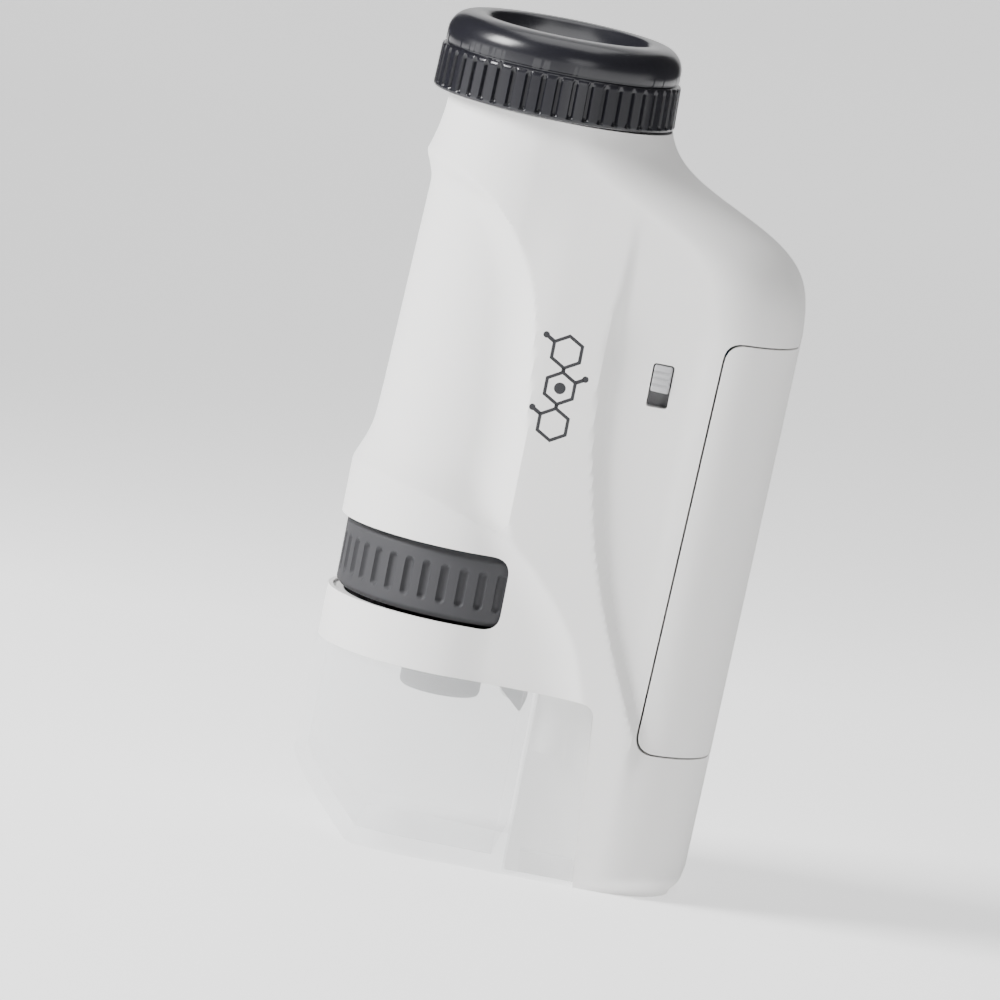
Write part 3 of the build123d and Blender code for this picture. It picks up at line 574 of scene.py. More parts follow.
def clear_plastic(name, colour, roughness, edge):
    """Clear moulded plastic with faint flow lines and a slightly greyer tone in places."""
    graph = Graph(name)
    flow = graph.noise(9.0, 3.0, 0.5, stretch=(1, 1, 0.3))
    scuffs = graph.noise(1.6, 4.0, 0.65)
    base = graph.colours(graph.part_of(flow, 0.35, 0.65, 0.0, 1.0), tint(colour, edge), rgb(colour))
    gloss = graph.part_of(scuffs, 0.45, 0.8, roughness, roughness * 2.2)
    normal = graph.bump(flow, 0.02, 0.3)
    return graph.finish(
        graph.shader(
            Base_Color=base,
            Roughness=gloss,
            Normal=normal,
            Transmission_Weight=1.0,
            IOR=1.49,
            Specular_IOR_Level=0.2,
        )
    )


def coated_glass(name, colour, film):
    """Lens glass with a faint coloured film."""
    graph = Graph(name)
    film_share = graph.part_of(graph.noise(6.0, 2.0), 0.35, 0.65, 0.15, 0.5)
    base = graph.colours(film_share, rgb(colour), rgb(film))
    gloss = graph.part_of(graph.noise(1.2, 4.0), 0.5, 0.8, 0.01, 0.04)
    return graph.finish(graph.shader(Base_Color=base, Roughness=gloss, Transmission_Weight=1.0, IOR=1.52))


def metal(name, colour, roughness, stretch=(1, 1, 1), grain=0.25):
    """Plated or brushed metal with fine lines along one direction."""
    graph = Graph(name)
    lines = graph.noise(grain, 3.0, 0.6, stretch=stretch)
    stain = graph.noise(2.5, 4.0, 0.6)
    base = graph.colours(graph.part_of(stain, 0.35, 0.75, 0.0, 1.0), rgb(colour), tint(colour, 0.78))
    gloss = graph.part_of(lines, 0.3, 0.7, roughness * 0.8, roughness * 1.3)
    normal = graph.bump(lines, 0.003)
    return graph.finish(graph.shader(Base_Color=base, Roughness=gloss, Normal=normal, Metallic=1.0))


def banded(name, colour, bands, axis, roughness=0.35, grain=0.3, edge=0.02):
    """A lacquered surface with coloured bands between heights along an axis, in millimetres."""
    graph = Graph(name)
    place = graph.place((1 / MM, 1 / MM, 1 / MM))
    along = graph.add("ShaderNodeSeparateXYZ", inputs={0: place}, output="XYZ".index(axis))
    wobble = graph.noise(grain, 3.0)
    mottle = graph.part_of(graph.noise(4.0), 0.3, 0.7, 0.0, 1.0)
    base = graph.colours(mottle, tint(colour, 0.94), tint(colour, 1.04))
    for low, high, band_colour in bands:
        past_low = graph.part_of(along, low - edge, low + edge, 0.0, 1.0)
        before_high = graph.part_of(along, high - edge, high + edge, 1.0, 0.0)
        base = graph.colours(past_low * before_high, base, rgb(band_colour))
    gloss = graph.part_of(wobble, 0.3, 0.7, roughness * 0.85, roughness * 1.2)
    return graph.finish(graph.shader(Base_Color=base, Roughness=gloss, Normal=graph.bump(wobble, 0.003)))


def circuit(name, colour, copper):
    """Solder mask over square copper tracks."""
    graph = Graph(name)
    scale = 0.45 / MM
    upright = {"Vector": graph.place((scale, scale, scale)), "Rotation": (radians(90), 0, radians(90))}
    pattern = {
        "Vector": graph.add("ShaderNodeMapping", inputs=upright),
        "Scale": 1.0,
        "Mortar Size": 0.06,
        "Mortar Smooth": 0.1,
        "Brick Width": 1.4,
        "Row Height": 0.55,
    }
    tracks = graph.add("ShaderNodeTexBrick", {"offset": 0.35, "squash": 1.0}, pattern, output="Fac")
    base = graph.colours(tracks, rgb(colour), rgb(copper))
    gloss = graph.part_of(graph.noise(0.8), 0.3, 0.7, 0.25, 0.4)
    return graph.finish(graph.shader(Base_Color=base, Roughness=gloss, Normal=graph.bump(tracks, 0.03)))


def paint(piece, material):
    """Give a piece or CAD node one material."""
    piece.data.materials.clear()
    piece.data.materials.append(material)
    return piece


# ------------------------------------------------------------------ layout of the inside, in millimetres
FAR = 60.0
PAST = 40.0
FIT = 0.3
PLATE_TOP = BASE_TOP + WALL
LEG_FRONT = 13.1
LEG_RECESS = 4.0
BOSS_RADIUS = 2.5
BOSS_DROP = 7.6
WING_FOOT = 22.1
WING_TOP = 20.4
WING_GAP = 0.15
TUBE_RADIUS = 8.65
SLEEVE_RADIUS = 9.75
SPIGOT_HEIGHT = 3.0
SPIGOT_WALL = 2.6
SPIGOT_SEAM = 0.02
WINDOW_LOW = wheel_low.z - FIT
WINDOW_HIGH = wheel_high.z + FIT
WINDOW_BACK = 6.7
COVER_LOW = COVER_SEAM[0][1]
COVER_HIGH = COVER_SEAM[1][1]
COVER_WALL = 1.8
CELL_RADIUS = 7.25
CELL_X = 25.45
CELL_GAP = 0.5
TRAY_FRONT = CELL_X - CELL_RADIUS - CELL_GAP
TRAY_HALF = CELL_RADIUS + CELL_GAP
TRAY_WALL = 1.2
SWITCH_X = 20.7
SWITCH_Z = 64.6
SLOT_HALF_WIDTH = 1.35
SLOT_HALF_HEIGHT = 2.8
SCREW_PLACES = [(22.0, SHOULDER_BASE + 8.5), (13.4, 44.4), (25.0, 9.0)]
SCREW_POST_RADIUS = 3.3
SCREW_RECESS_RADIUS = 2.4
SCREW_HEAD_Y = 9.0
NOSE_RADIUS = 5.15


def cover_outline(gap, corner):
    """Return the side view of the battery cover, drawn in by a gap, its front corners rounded."""
    (low_x, low), (high_x, high) = COVER_SEAM
    points = [(FAR, low + gap), (FAR, high - gap), (high_x + gap, high - gap), (low_x + gap, low + gap)]
    return rounded(points, [0, 0, corner, corner], 6)


def wing_outline(gap):
    """Return the side view of the clear base, grown by a gap behind the wing."""
    top = BASE_TOP + 0.001
    points = [(-PAST, -1), (WING_FOOT + gap, -1), (WING_TOP + gap, top), (-PAST, top)]
    return rounded(points, [0, 0, 2.0, 0], 6)


# ------------------------------------------------------------------ pieces
def casing_room():
    """Return the room inside the casing, round the battery tray and the two upper screw posts."""
    tray_back = TRAY_FRONT - TRAY_WALL
    tray_side = TRAY_HALF + TRAY_WALL
    tray_top = COVER_HIGH + TRAY_WALL
    room = whole_volume(casing_point, WALL, PLATE_TOP, NECK_TOP - WALL, 90, 60)
    tray = block((tray_back, -tray_side, PLATE_TOP - 1), (FAR, tray_side, tray_top))
    ledge = block((tray_back, -PAST, COVER_HIGH), (FAR, PAST, tray_top))
    room = carve(room, merged([tray, ledge]))
    for x, z in SCREW_PLACES[:2]:
        room = carve(room, rod((x, 0.5, z), (x, 30, z), SCREW_POST_RADIUS))
    return room


def leg_recess():
    """Return the recess round the leg that the clear base's wings fill, round its two bosses."""
    recess = carve(
        whole_volume(base_point, -1.0, -0.5, BASE_TOP, 20, 40),
        whole_volume(base_point, LEG_RECESS, -1.0, BASE_TOP + 1, 20, 40),
    )
    recess = carve(recess, prism(wing_outline(WING_GAP), -PAST, PAST), "INTERSECT")
    boss_x = LEG_FRONT + BOSS_RADIUS
    boss_foot = BASE_TOP - BOSS_DROP
    for side in (-1, 1):
        boss_y = side * (BACK_HALF_WIDTH - LEG_RECESS - 0.4)
        recess = carve(recess, rod((boss_x, boss_y, boss_foot), (boss_x, boss_y, PAST), BOSS_RADIUS))
    return recess


def half_spigot(side):
    """Return one half of the ring that the eyepiece cap turns on."""
    inner = SLEEVE_RADIUS + FIT
    outer = inner + SPIGOT_WALL
    low, high = NECK_TOP - 0.5, NECK_TOP + SPIGOT_HEIGHT
    ring = spun([(inner, low), (outer, low), (outer, high - 0.3), (outer - 0.3, high), (inner, high)], 96)
    near, far = (SPIGOT_SEAM, FAR) if side > 0 else (-FAR, -SPIGOT_SEAM)
    return carve(ring, block((-FAR, near, 0), (FAR, far, 200)), "INTERSECT")


def build_casing(settings):
    """Build both halves of the casing around one shared set of hollows."""
    corner = settings.window_corner / MM
    window = rounded(
        [(-FAR, WINDOW_LOW), (WINDOW_BACK, WINDOW_LOW), (WINDOW_BACK, WINDOW_HIGH), (-FAR, WINDOW_HIGH)],
        [0, corner, corner, 0],
        6,
    )
    tool = merged([
        casing_room(),
        block((-FAR, -FAR, -5), (LEG_FRONT, FAR, BASE_TOP)),
        leg_recess(),
        prism(window, -FAR, FAR),
        rod((0, 0, WINDOW_LOW - FIT), (0, 0, WINDOW_HIGH + FIT), wheel_high.x + FIT, 96),
        block((TRAY_FRONT, -TRAY_HALF, COVER_LOW), (FAR, TRAY_HALF, COVER_HIGH)),
        rod((0, 0, BASE_TOP - 1), (0, 0, PLATE_TOP + 1), NOSE_RADIUS + FIT, 64),
        rod((0, 0, NECK_TOP - 5), (0, 0, NECK_TOP + 9), SLEEVE_RADIUS + FIT, 96),
        prism(cover_outline(0.0, settings.cover_corner / MM), -FAR, FAR),
    ])
    slot_low, slot_high = SWITCH_Z - SLOT_HALF_HEIGHT, SWITCH_Z + SLOT_HALF_HEIGHT
    slot_front, slot_back = SWITCH_X - SLOT_HALF_WIDTH, SWITCH_X + SLOT_HALF_WIDTH
    slot = rounded(
        [(slot_front, slot_low), (slot_back, slot_low), (slot_back, slot_high), (slot_front, slot_high)],
        [0.45] * 4,
    )
    half_gap = settings.seam / MM / 2
    for name, side in (("left", -1), ("right", 1)):
        if side < 0:
            extra = prism(slot, -FAR, -10)
        else:
            heads = [rod((x, SCREW_HEAD_Y, z), (x, FAR, z), SCREW_RECESS_RADIUS) for x, z in SCREW_PLACES]
            extra = joined(*heads)
        outer = half_volume(
            casing_point, side, 0.0, 0.0, NECK_TOP, settings.rows, settings.columns, half_gap
        )
        shell = carve(carve(outer, tool.copy()), extra)
        shell = carve(shell, half_spigot(side), "UNION")
        new_piece(f"{name}_casing", shell, "housing", "white_shell", [f"{name}_shell"], 28)
    tool.free()


def build_cover(settings):
    """Build the battery cover from the casing's own form."""
    low, high = COVER_LOW - 2, COVER_HIGH + 2
    outline = cover_outline(settings.cover_gap / MM, settings.cover_corner / MM)
    outer = whole_volume(casing_point, 0.0, low, high, settings.rows * 2 // 3, settings.columns)
    outer = carve(outer, prism(outline, -FAR, FAR), "INTERSECT")
    inner = whole_volume(casing_point, COVER_WALL, low - 1, high + 1, 40, 60)
    new_piece("rear_cover", carve(outer, inner), "cover", "white_shell", ["battery_cover"], 28)


def groove_depth(angle, offset, count, radius, width, length, depth, edge):
    """Return how deep a point lies in a ring of upright round-ended grooves."""
    pitch = 2 * pi / count
    from_middle = abs((angle % pitch) - pitch / 2) * radius
    beyond = max(abs(offset) - (length - width) / 2, 0.0)
    inside = width / 2 - hypot(from_middle, beyond)
    return depth * smooth(inside / edge + 0.5)


def cut_grooves(turned, middle, count, radius, width, length, depth, edge=0.22):
    """Press a ring of upright grooves into the outermost surface of a spun form."""
    for vert in turned.verts:
        reach = hypot(vert.co.x, vert.co.y)
        if reach < radius - 1.1:
            continue
        angle = atan2(vert.co.y, vert.co.x) % (2 * pi)
        sink = groove_depth(angle, vert.co.z - middle, count, radius, width, length, depth, edge)
        vert.co.x *= (reach - sink) / reach
        vert.co.y *= (reach - sink) / reach


def steps_between(start, end, count):
    """Return points spaced evenly from a start to an end, both included."""
    return [(mix(start[0], end[0], i / count), mix(start[1], end[1], i / count)) for i in range(count + 1)]


def build_eyepiece(settings):
    """Build the eyepiece cap with its ribbed band, rounded rim and funnel."""
    low, high = cap_low.z, cap_high.z
    band = settings.band_height / MM
    radius = cap_high.x
    top = radius - 0.5
    hollow = SLEEVE_RADIUS + FIT + SPIGOT_WALL + FIT
    hub = TUBE_RADIUS + 0.17
    sleeve_top = NECK_TOP + FIT + SPIGOT_HEIGHT + FIT
    seat = high - 4.8
    opening, lens_seat = 6.0, 7.03
    corner = 2.9
    grip = (
        [(radius - 0.35, low), (radius - 0.1, low + 0.1), (radius, low + 0.35)]
        + steps_between((radius, low + 0.5), (radius - 0.15, low + band - 0.45), 22)
        + [(radius - 0.22, low + band - 0.15), (radius - 0.42, low + band), (top + 0.02, low + band + 0.03)]
        + [(top - 0.12, low + band + 0.14), (top - 0.12, low + band + 0.3), (top, low + band + 0.42)]
    )
    rim = [
        (top - corner + corner * sin(a), high - corner + corner * cos(a)) for a in reversed(quarter(12))
    ]
    funnel = [
        (10.9, high), (10.55, high - 0.12), (10.3, high - 0.4), (9.9, high - 0.95), (9.2, high - 1.6),
        (8.2, high - 2.35), (7.2, high - 3.1), (6.5, high - 3.65), (6.1, seat + 0.9), (opening, seat + 0.7),
    ]
    inside = [
        (opening, seat), (lens_seat, seat), (lens_seat, low + 0.05), (7.1, low), (hub - 0.1, low),
        (hub, low + 0.1), (hub, sleeve_top), (hollow, sleeve_top), (hollow, low + 0.15),
        (hollow + 0.15, low),
    ]
    cap = spun(grip + rim + funnel + inside, settings.grooves * 10)
    depth = settings.groove_depth / MM
    cut_grooves(cap, low + band / 2 + 0.03, settings.grooves, radius, 0.62, band - 0.8, depth)
    new_piece("eyepiece", cap, "eyepiece", "black_gloss", ["eyepiece_cap"], 45)


def build_wheel(settings):
    """Build the focus wheel with its ring of short finger grooves."""
    low, high = wheel_low.z, wheel_high.z
    radius = wheel_high.x
    bore = TUBE_RADIUS + FIT
    chamfer = 0.6
    edge = radius - chamfer
    profile = (
        [(bore, low + 0.15), (bore + 0.15, low), (edge - 0.08, low), (edge + 0.02, low + 0.05)]
        + [(radius - 0.07, low + chamfer - 0.08), (radius, low + chamfer + 0.08)]
        + steps_between((radius, low + chamfer + 0.3), (radius, high - chamfer - 0.3), 28)
        + [(radius, high - chamfer - 0.08), (radius - 0.07, high - chamfer + 0.08)]
        + [(edge + 0.02, high - 0.05), (edge - 0.08, high), (bore + 0.15, high), (bore, high - 0.15)]
    )
    wheel = spun(profile, settings.grooves * 12)
    width, length = settings.groove_width / MM, settings.groove_length / MM
    depth = settings.groove_depth / MM
    cut_grooves(wheel, (low + high) / 2, settings.grooves, radius, width, length, depth, 0.3)
    new_piece("focus_dial", wheel, "focus_ring", "charcoal", ["focus_wheel"], 40)


def build_objective(settings):
    """Build the objective barrel with its stepped nose and two guide pins."""
    low, high = barrel_low.z, barrel_high.z
    tube = barrel_high.x
    step = low + 8.9
    wall = 1.2
    lens_seat, opening = 3.23, 2.2
    nose = settings.nose_round / MM
    profile = (
        [(lens_seat, low + 1.2), (opening + 0.1, low + 1.2), (opening, low + 1.05), (opening, low + 0.45)]
        + [(2.5, low + 0.12), (2.75, low)]
        + [(NOSE_RADIUS - nose + nose * sin(a), low + nose - nose * cos(a)) for a in quarter(8)]
        + [(NOSE_RADIUS, step - 0.3), (NOSE_RADIUS + 0.1, step), (tube - 0.2, step), (tube, step + 0.2)]
        + [(tube, high - 0.2), (tube - 0.2, high), (tube - wall + 0.1, high), (tube - wall, high - 0.1)]
        + [(tube - wall, step + wall), (lens_seat, step + wall)]
    )
    barrel = spun(profile, 96)
    pin_z = (wheel_low.z + wheel_high.z) / 2
    start, end = tube - wall / 2, barrel_high.y
    pins = joined(*[rod((0, side * start, pin_z), (0, side * end, pin_z), 0.9, 24) for side in (-1, 1)])
    soften(pins, 0.12, 2)
    new_piece("objective_nose", joined(barrel, pins), "objective", "dark_grey", ["objective_barrel"], 40)


def build_base(settings):
    """Build the clear base as a moulded cup whose wings wrap round the leg."""
    wall = settings.wall / MM
    floor = settings.floor / MM
    back = LEG_FRONT - 0.2
    foot_x, rise = -7.0, 8.3
    slant = [
        (-FAR, -5), (foot_x - 0.4, -5), (foot_x, 0),
        (-BASE_RADIUS - 0.02, rise), (-BASE_RADIUS - 0.4, rise + 0.3), (-FAR, rise + 0.3),
    ]
    outer = whole_volume(base_point, 0.0, 0.0, BASE_TOP, 30, 80)
    outer = carve(outer, prism(wing_outline(0.0), -FAR, FAR), "INTERSECT")
    room = carve(
        whole_volume(base_point, wall, floor, BASE_TOP + 1, 20, 60),
        block((back - wall, -FAR, -5), (FAR, FAR, FAR)),
    )
    room = carve(room, prism([(x + wall, z + wall * 0.8) for x, z in slant], -FAR, FAR))
    wing_room = carve(
        whole_volume(base_point, wall, -1.0, BASE_TOP + 1, 20, 60),
        block((back, -FAR, -5), (FAR, FAR, FAR)),
        "INTERSECT",
    )
    feet = carve(
        whole_volume(base_point, wall / 2, 0.0, FOOT_HEIGHT, 6, 60),
        whole_volume(base_point, LEG_RECESS - FIT, -1.0, 5.0, 6, 60),
    )
    feet = carve(feet, block((14.8, -FAR, -5), (21.4, FAR, FOOT_HEIGHT)), "INTERSECT")
    shell = carve(outer, prism(slant, -FAR, FAR))
    shell = carve(shell, wing_room)
    shell = carve(shell, feet, "UNION")
    shell = carve(shell, room)
    new_piece("clear_cup", shell, "base", "clear_plastic", ["clear_base"], 28)


def build_lamp(settings):
    """Build the lamp's bracket and the domed lamp that points at the specimen."""
    top = bracket_high.z - WALL
    front, back = 7.6, 11.0
    radius = 1.5
    middle = Vector((9.1, 0, 21.3))
    aim = (Vector((0, 0, 2.0)) - middle).normalized()
    wedge = [(front, top), (front, top - 1.6), (back, top - 4.6), (back, top)]
    bracket = prism(rounded(wedge, [0, 0.25, 0.35, 0]), -4.5, 4.5)
    tongue = [(8.93, top - 0.5), (10.07, top - 0.5), (10.07, top + WALL), (8.93, top + WALL)]
    bracket = carve(bracket, prism(tongue, -1.5, 1.5), "UNION")
    bracket = carve(bracket, rod(middle - aim * 1.6, middle + aim * 20, radius + 0.05, 48))
    soften(bracket, 0.12, 2, 50)
    new_piece("lamp_bracket", bracket, "housing", "dark_grey", ["led_bracket"], 35)
    tip = settings.length / MM / 2
    dome = [(radius * cos(a), tip - radius + radius * sin(a)) for a in quarter(10)[:-1]]
    lamp = spun(
        [(0, -tip), (radius - 0.1, -tip), (radius, -tip + 0.1)] + dome + [(0, tip)], 48, closed=False
    )
    turn = aim.to_track_quat("Z", "Y").to_matrix().to_4x4()
    bmesh.ops.transform(lamp, matrix=Matrix.Translation(middle) @ turn, verts=lamp.verts)
    new_piece("lamp", lamp, "housing", "lamp_lens", ["led"], 40)


def build_switch(settings):
    """Build the light switch's slider with three grip notches."""
    slider = block(slider_low, slider_high)
    soften(slider, 0.25, 3)
    face = slider_low.y - 0.05
    middle = (slider_low.z + slider_high.z) / 2
    for step in (-1, 0, 1):
        level = middle + step * settings.ridge_pitch / MM
        notch = rod((slider_low.x - 1, face, level), (slider_high.x + 1, face, level), 0.22, 16)
        slider = carve(slider, notch)
    new_piece("light_knob", slider, "light_switch", "switch_grey", ["switch_slider"], 35)


def build_screws(settings):
    """Build the three cross-head screws that hold the casing together."""
    seat = SCREW_HEAD_Y
    top = seat + 1.4
    shank, half_slot = 1.1, 0.25
    reach = settings.cross / MM / 2
    profile = [
        (0, -6.0), (shank - 0.2, -6.0), (shank, -5.6), (shank, seat), (2.1, seat), (2.2, seat + 0.15),
        (2.15, top - 0.55), (1.9, top - 0.25), (1.4, top - 0.06), (0.7, top), (0, top),
    ]
    screws = []
    for x, z in SCREW_PLACES:
        screw = spun(profile, 40, closed=False, axis="Y", centre=(x, 0, z))
        cross = merged([
            block((x - reach, top - 0.8, z - half_slot), (x + reach, top + 1, z + half_slot)),
            block((x - half_slot, top - 0.8, z - reach), (x + half_slot, top + 1, z + reach)),
        ])
        screws.append(carve(screw, cross))
    new_piece("casing_screws", joined(*screws), "housing", "screw_steel", ["case_screws"], 35)


def side_at(x, z):
    """Return how far the casing's side stands from the middle at a place."""
    low, high = 0.3, 0.95
    for _ in range(24):
        middle = (low + high) / 2
        if casing_point(middle, z)[0] < x:
            low = middle
        else:
            high = middle
    return casing_point((low + high) / 2, z)[1]


def build_mark(settings):
    """Print a small linked-ring figure on the casing's side."""
    figure = bmesh.new()
    lift = 0.03
    reach = settings.ring_radius / MM
    line = settings.line_width / MM / 2
    middle_x, middle_z = 8.5, 62.1
    stub_x, stub_z = 0.95, 0.55
    dot_radius, end_dot_radius = 0.75, 0.42

    def print_quads(outer, inner):
        """Print the band between two closed outlines."""
        count = len(outer)
        for index in range(count):
            nearby = (index + 1) % count
            corners = [outer[index], outer[nearby], inner[nearby], inner[index]]
            figure.faces.new([figure.verts.new((px, -side_at(px, pz) - lift, pz)) for px, pz in corners])

    def ring(cx, cz, radius, half, sides, start=0.0, pieces=6):
        """Print a ring with straight sides, each cut into pieces that follow the surface."""
        outer, inner = [], []
        for index in range(sides):
            for piece in range(pieces):
                share = piece / pieces
                first, second = start + index * 2 * pi / sides, start + (index + 1) * 2 * pi / sides
                for points, r in ((outer, radius + half), (inner, radius - half)):
                    points.append((
                        cx + r * mix(cos(first), cos(second), share),
                        cz + r * mix(sin(first), sin(second), share),
                    ))
        print_quads(outer, inner)

    def bar(start, end, half, pieces=8):
        """Print a straight bar."""
        along = (Vector(end) - Vector(start)).normalized()
        across = Vector((-along.y, along.x)) * half
        rows = []
        for step in range(pieces + 1):
            at = Vector(start).lerp(Vector(end), step / pieces)
            rows.append((at + across, at - across))
        for one, two in zip(rows, rows[1:]):
            corners = [one[0], two[0], two[1], one[1]]
            figure.faces.new([figure.verts.new((p.x, -side_at(p.x, p.y) - lift, p.y)) for p in corners])

    def dot(cx, cz, radius):
        """Print a filled dot."""
        ring(cx, cz, radius / 2, radius / 2 - 0.001, 20, pieces=1)

    step = reach * 2 + 0.55
    for index in (-1, 0, 1):
        ring(middle_x, middle_z + index * step, reach, line, 6, radians(30))
    for index in (-1, 0):
        level = middle_z + index * step + reach
        bar((middle_x, level), (middle_x, level + step - 2 * reach), line)
    dot(middle_x, middle_z, dot_radius)
    for index, side in ((-1, -1), (0, 1), (1, -1)):
        level = middle_z + index * step
        corner_x = middle_x + side * reach * cos(radians(30))
        bar((corner_x, level + reach / 2), (corner_x + side * stub_x, level + reach / 2 + stub_z), line)
        dot(corner_x + side * (stub_x + 0.2), level + reach / 2 + stub_z + 0.12, end_dot_radius)
    bmesh.ops.remove_doubles(figure, verts=figure.verts, dist=0.0005)
    bmesh.ops.recalc_face_normals(figure, faces=figure.faces)
    for face in figure.faces:
        if face.normal.y > 0:
            face.normal_flip()
    new_piece("side_print", figure, "housing", "black_gloss")


INNER_FINISHES = {
    "inner_black": [
        "optical_tube", "field_stop", "zoom_carrier", "zoom_sleeve", "eye_lens_ring", "objective_stop",
    ],
    "lens_glass": ["zoom_lens", "eye_lens", "objective_lens"],
    "switch_grey": ["switch_body"],
    "contact_metal": ["contact_plate", "contact_spring"],
    "board_green": ["circuit_board"],
    "resistor_tan": ["resistor"],
    "wire_red": ["led_wire", "switch_wire"],
    "cell_jacket": ["battery_cell"],
}


def finish_inner_nodes():
    """Give the parts inside the casing their finishes."""
    for slot, names in INNER_FINISHES.items():
        for name in names:
            paint(nodes[name], slot_material(slot))


# ------------------------------------------------------------------ finishes
def slot_material(slot):
    """Return the material of a slot, made the first time it is asked for."""
    if slot in bpy.data.materials:
        return bpy.data.materials[slot]
    look = bpy.context.scene.microscope_finish
    if slot == "white_shell":
        return moulded(slot, look.white, look.white_roughness, relief=0.006, mottle=0.012)
    if slot == "black_gloss":
        return moulded(slot, look.black, 0.14, relief=0.001, mottle=0.15, shine=0.3)
    if slot == "charcoal":
        return moulded(slot, look.charcoal, 0.42, relief=0.006, mottle=0.08, shine=0.15)
    if slot == "dark_grey":
        return moulded(slot, look.dark_grey, 0.4, relief=0.006, mottle=0.06, shine=0.2)
    if slot == "switch_grey":
        return moulded(slot, (0.42, 0.42, 0.43), 0.45, relief=0.006, mottle=0.05)
    if slot == "inner_black":
        return moulded(slot, (0.02, 0.02, 0.022), 0.6, relief=0.01, mottle=0.2)
    if slot == "wire_red":
        return moulded(slot, (0.45, 0.02, 0.02), 0.4, relief=0.004, mottle=0.08)
    if slot == "clear_plastic":
        return clear_plastic(slot, (0.965, 0.97, 0.975), 0.012, 0.97)
    if slot == "lamp_lens":
        return clear_plastic(slot, (0.95, 0.95, 0.92), 0.06, 0.9)
    if slot == "lens_glass":
        return coated_glass(slot, (0.93, 0.96, 0.98), (0.78, 0.86, 0.98))
    if slot == "screw_steel":
        return metal(slot, (0.55, 0.55, 0.56), 0.32, stretch=(1, 0.3, 1))
    if slot == "contact_metal":
        return metal(slot, (0.75, 0.75, 0.76), 0.18)
    if slot == "board_green":
        return circuit(slot, (0.03, 0.16, 0.07), (0.06, 0.25, 0.1))
    if slot == "resistor_tan":
        brown, black, red = (0.3, 0.12, 0.02), (0.02, 0.02, 0.02), (0.5, 0.04, 0.02)
        bands = [(-1.2, -0.8, brown), (-0.4, 0.0, black), (0.5, 0.9, red)]
        return banded(slot, (0.62, 0.48, 0.3), bands, "Y")
    if slot == "cell_jacket":
        brass, bare = (0.75, 0.55, 0.12), (0.7, 0.7, 0.7)
        return banded(slot, (0.12, 0.2, 0.33), [(56.0, 68.9, brass), (70.2, 80.0, bare)], "Z", 0.25)
    raise ValueError(f"no finish for {slot}")


# ------------------------------------------------------------------ stage
def build_floor(settings):
    """Build the pale floor that curves up into a backdrop."""
    reach, bend = settings.floor_reach, settings.floor_bend
    curve = [(reach - bend + bend * sin(a), bend - bend * cos(a)) for a in quarter(24)]
    sweep = bmesh.new()
    rows = [
        (sweep.verts.new((-2 * reach, y, z)), sweep.verts.new((2 * reach, y, z)))
        for y, z in [(-reach, 0.0)] + curve + [(reach, reach * 1.6)]
    ]
    for one, two in zip(rows, rows[1:]):
        sweep.faces.new([one[0], one[1], two[1], two[0]])
    floor = shade(new_object("floor", sweep))
    graph = Graph("studio_paper")
    mottle = graph.part_of(graph.noise(180.0, 3.0), 0.3, 0.7, 0.0, 1.0)
    base = graph.colours(mottle, rgb(settings.paper), tint(settings.paper, 0.985))
    gloss = graph.part_of(graph.noise(2.0), 0.3, 0.7, 0.75, 0.9)
    paper = graph.shader(
        Base_Color=base, Roughness=gloss, Emission_Color=base, Emission_Strength=settings.paper_glow
    )
    paint(floor, graph.finish(paper))


def build_card(name, side, settings):
    """Stand a dark card on one side, seen only in reflections, to draw the toy's outline."""
    across, back, height = settings.card_place
    card = bmesh.new()
    bmesh.ops.create_grid(card, x_segments=1, y_segments=1, size=0.5)
    bmesh.ops.scale(card, vec=(*settings.card_size, 1), verts=card.verts)
    bmesh.ops.rotate(card, cent=(0, 0, 0), matrix=Matrix.Rotation(radians(90), 3, "Y"), verts=card.verts)
    bmesh.ops.translate(card, vec=(side * across, back, height), verts=card.verts)
    felt = moulded(name, (0.03, 0.03, 0.03), 0.9, mottle=0.2)
    stand = paint(new_object(name, card), felt)
    stand.visible_camera = False


def build_lights(settings):
    """Set the soft surrounding light and three square lamps."""
    scene = bpy.context.scene
    scene.world = bpy.data.worlds.new("studio")
    scene.world.use_nodes = True
    sky = scene.world.node_tree.nodes["Background"]
    sky.inputs["Color"].default_value = (1, 1, 1, 1)
    sky.inputs["Strength"].default_value = settings.fill
    target = Vector(settings.target)
    lamps = [
        ("key_light", (-0.8, -0.35, 0.6), 0.4, settings.key),
        ("side_light", (0.45, -1.1, 0.35), 0.5, settings.side),
        ("top_light", (0.0, 0.15, 1.1), 0.8, settings.top),
    ]
    for name, place, size, power in lamps:
        light = bpy.data.lights.new(name, "AREA")
        light.shape = "SQUARE"
        light.size = size
        light.energy = power
        lamp = bpy.data.objects.new(name, light)
        lamp.location = place
        lamp.rotation_euler = (target - Vector(place)).to_track_quat("-Z", "Y").to_euler()
        scene.collection.objects.link(lamp)


def build_camera(settings):
    """Place the camera and make it the scene's."""
    scene = bpy.context.scene
    camera = bpy.data.cameras.new("camera")
    camera.lens = settings.focal
    camera.clip_end = 20
    viewer = bpy.data.objects.new("camera", camera)
    turn, rise = settings.azimuth, settings.elevation
    away = Vector((sin(turn) * cos(rise), -cos(turn) * cos(rise), sin(rise))) * settings.distance
    look = (-away).to_track_quat("-Z", "Y").to_matrix().to_4x4()
    place = Matrix.Translation(Vector(settings.target) + away)
    viewer.matrix_world = place @ look @ Matrix.Rotation(settings.roll, 4, "Z")
    scene.collection.objects.link(viewer)
    scene.camera = viewer


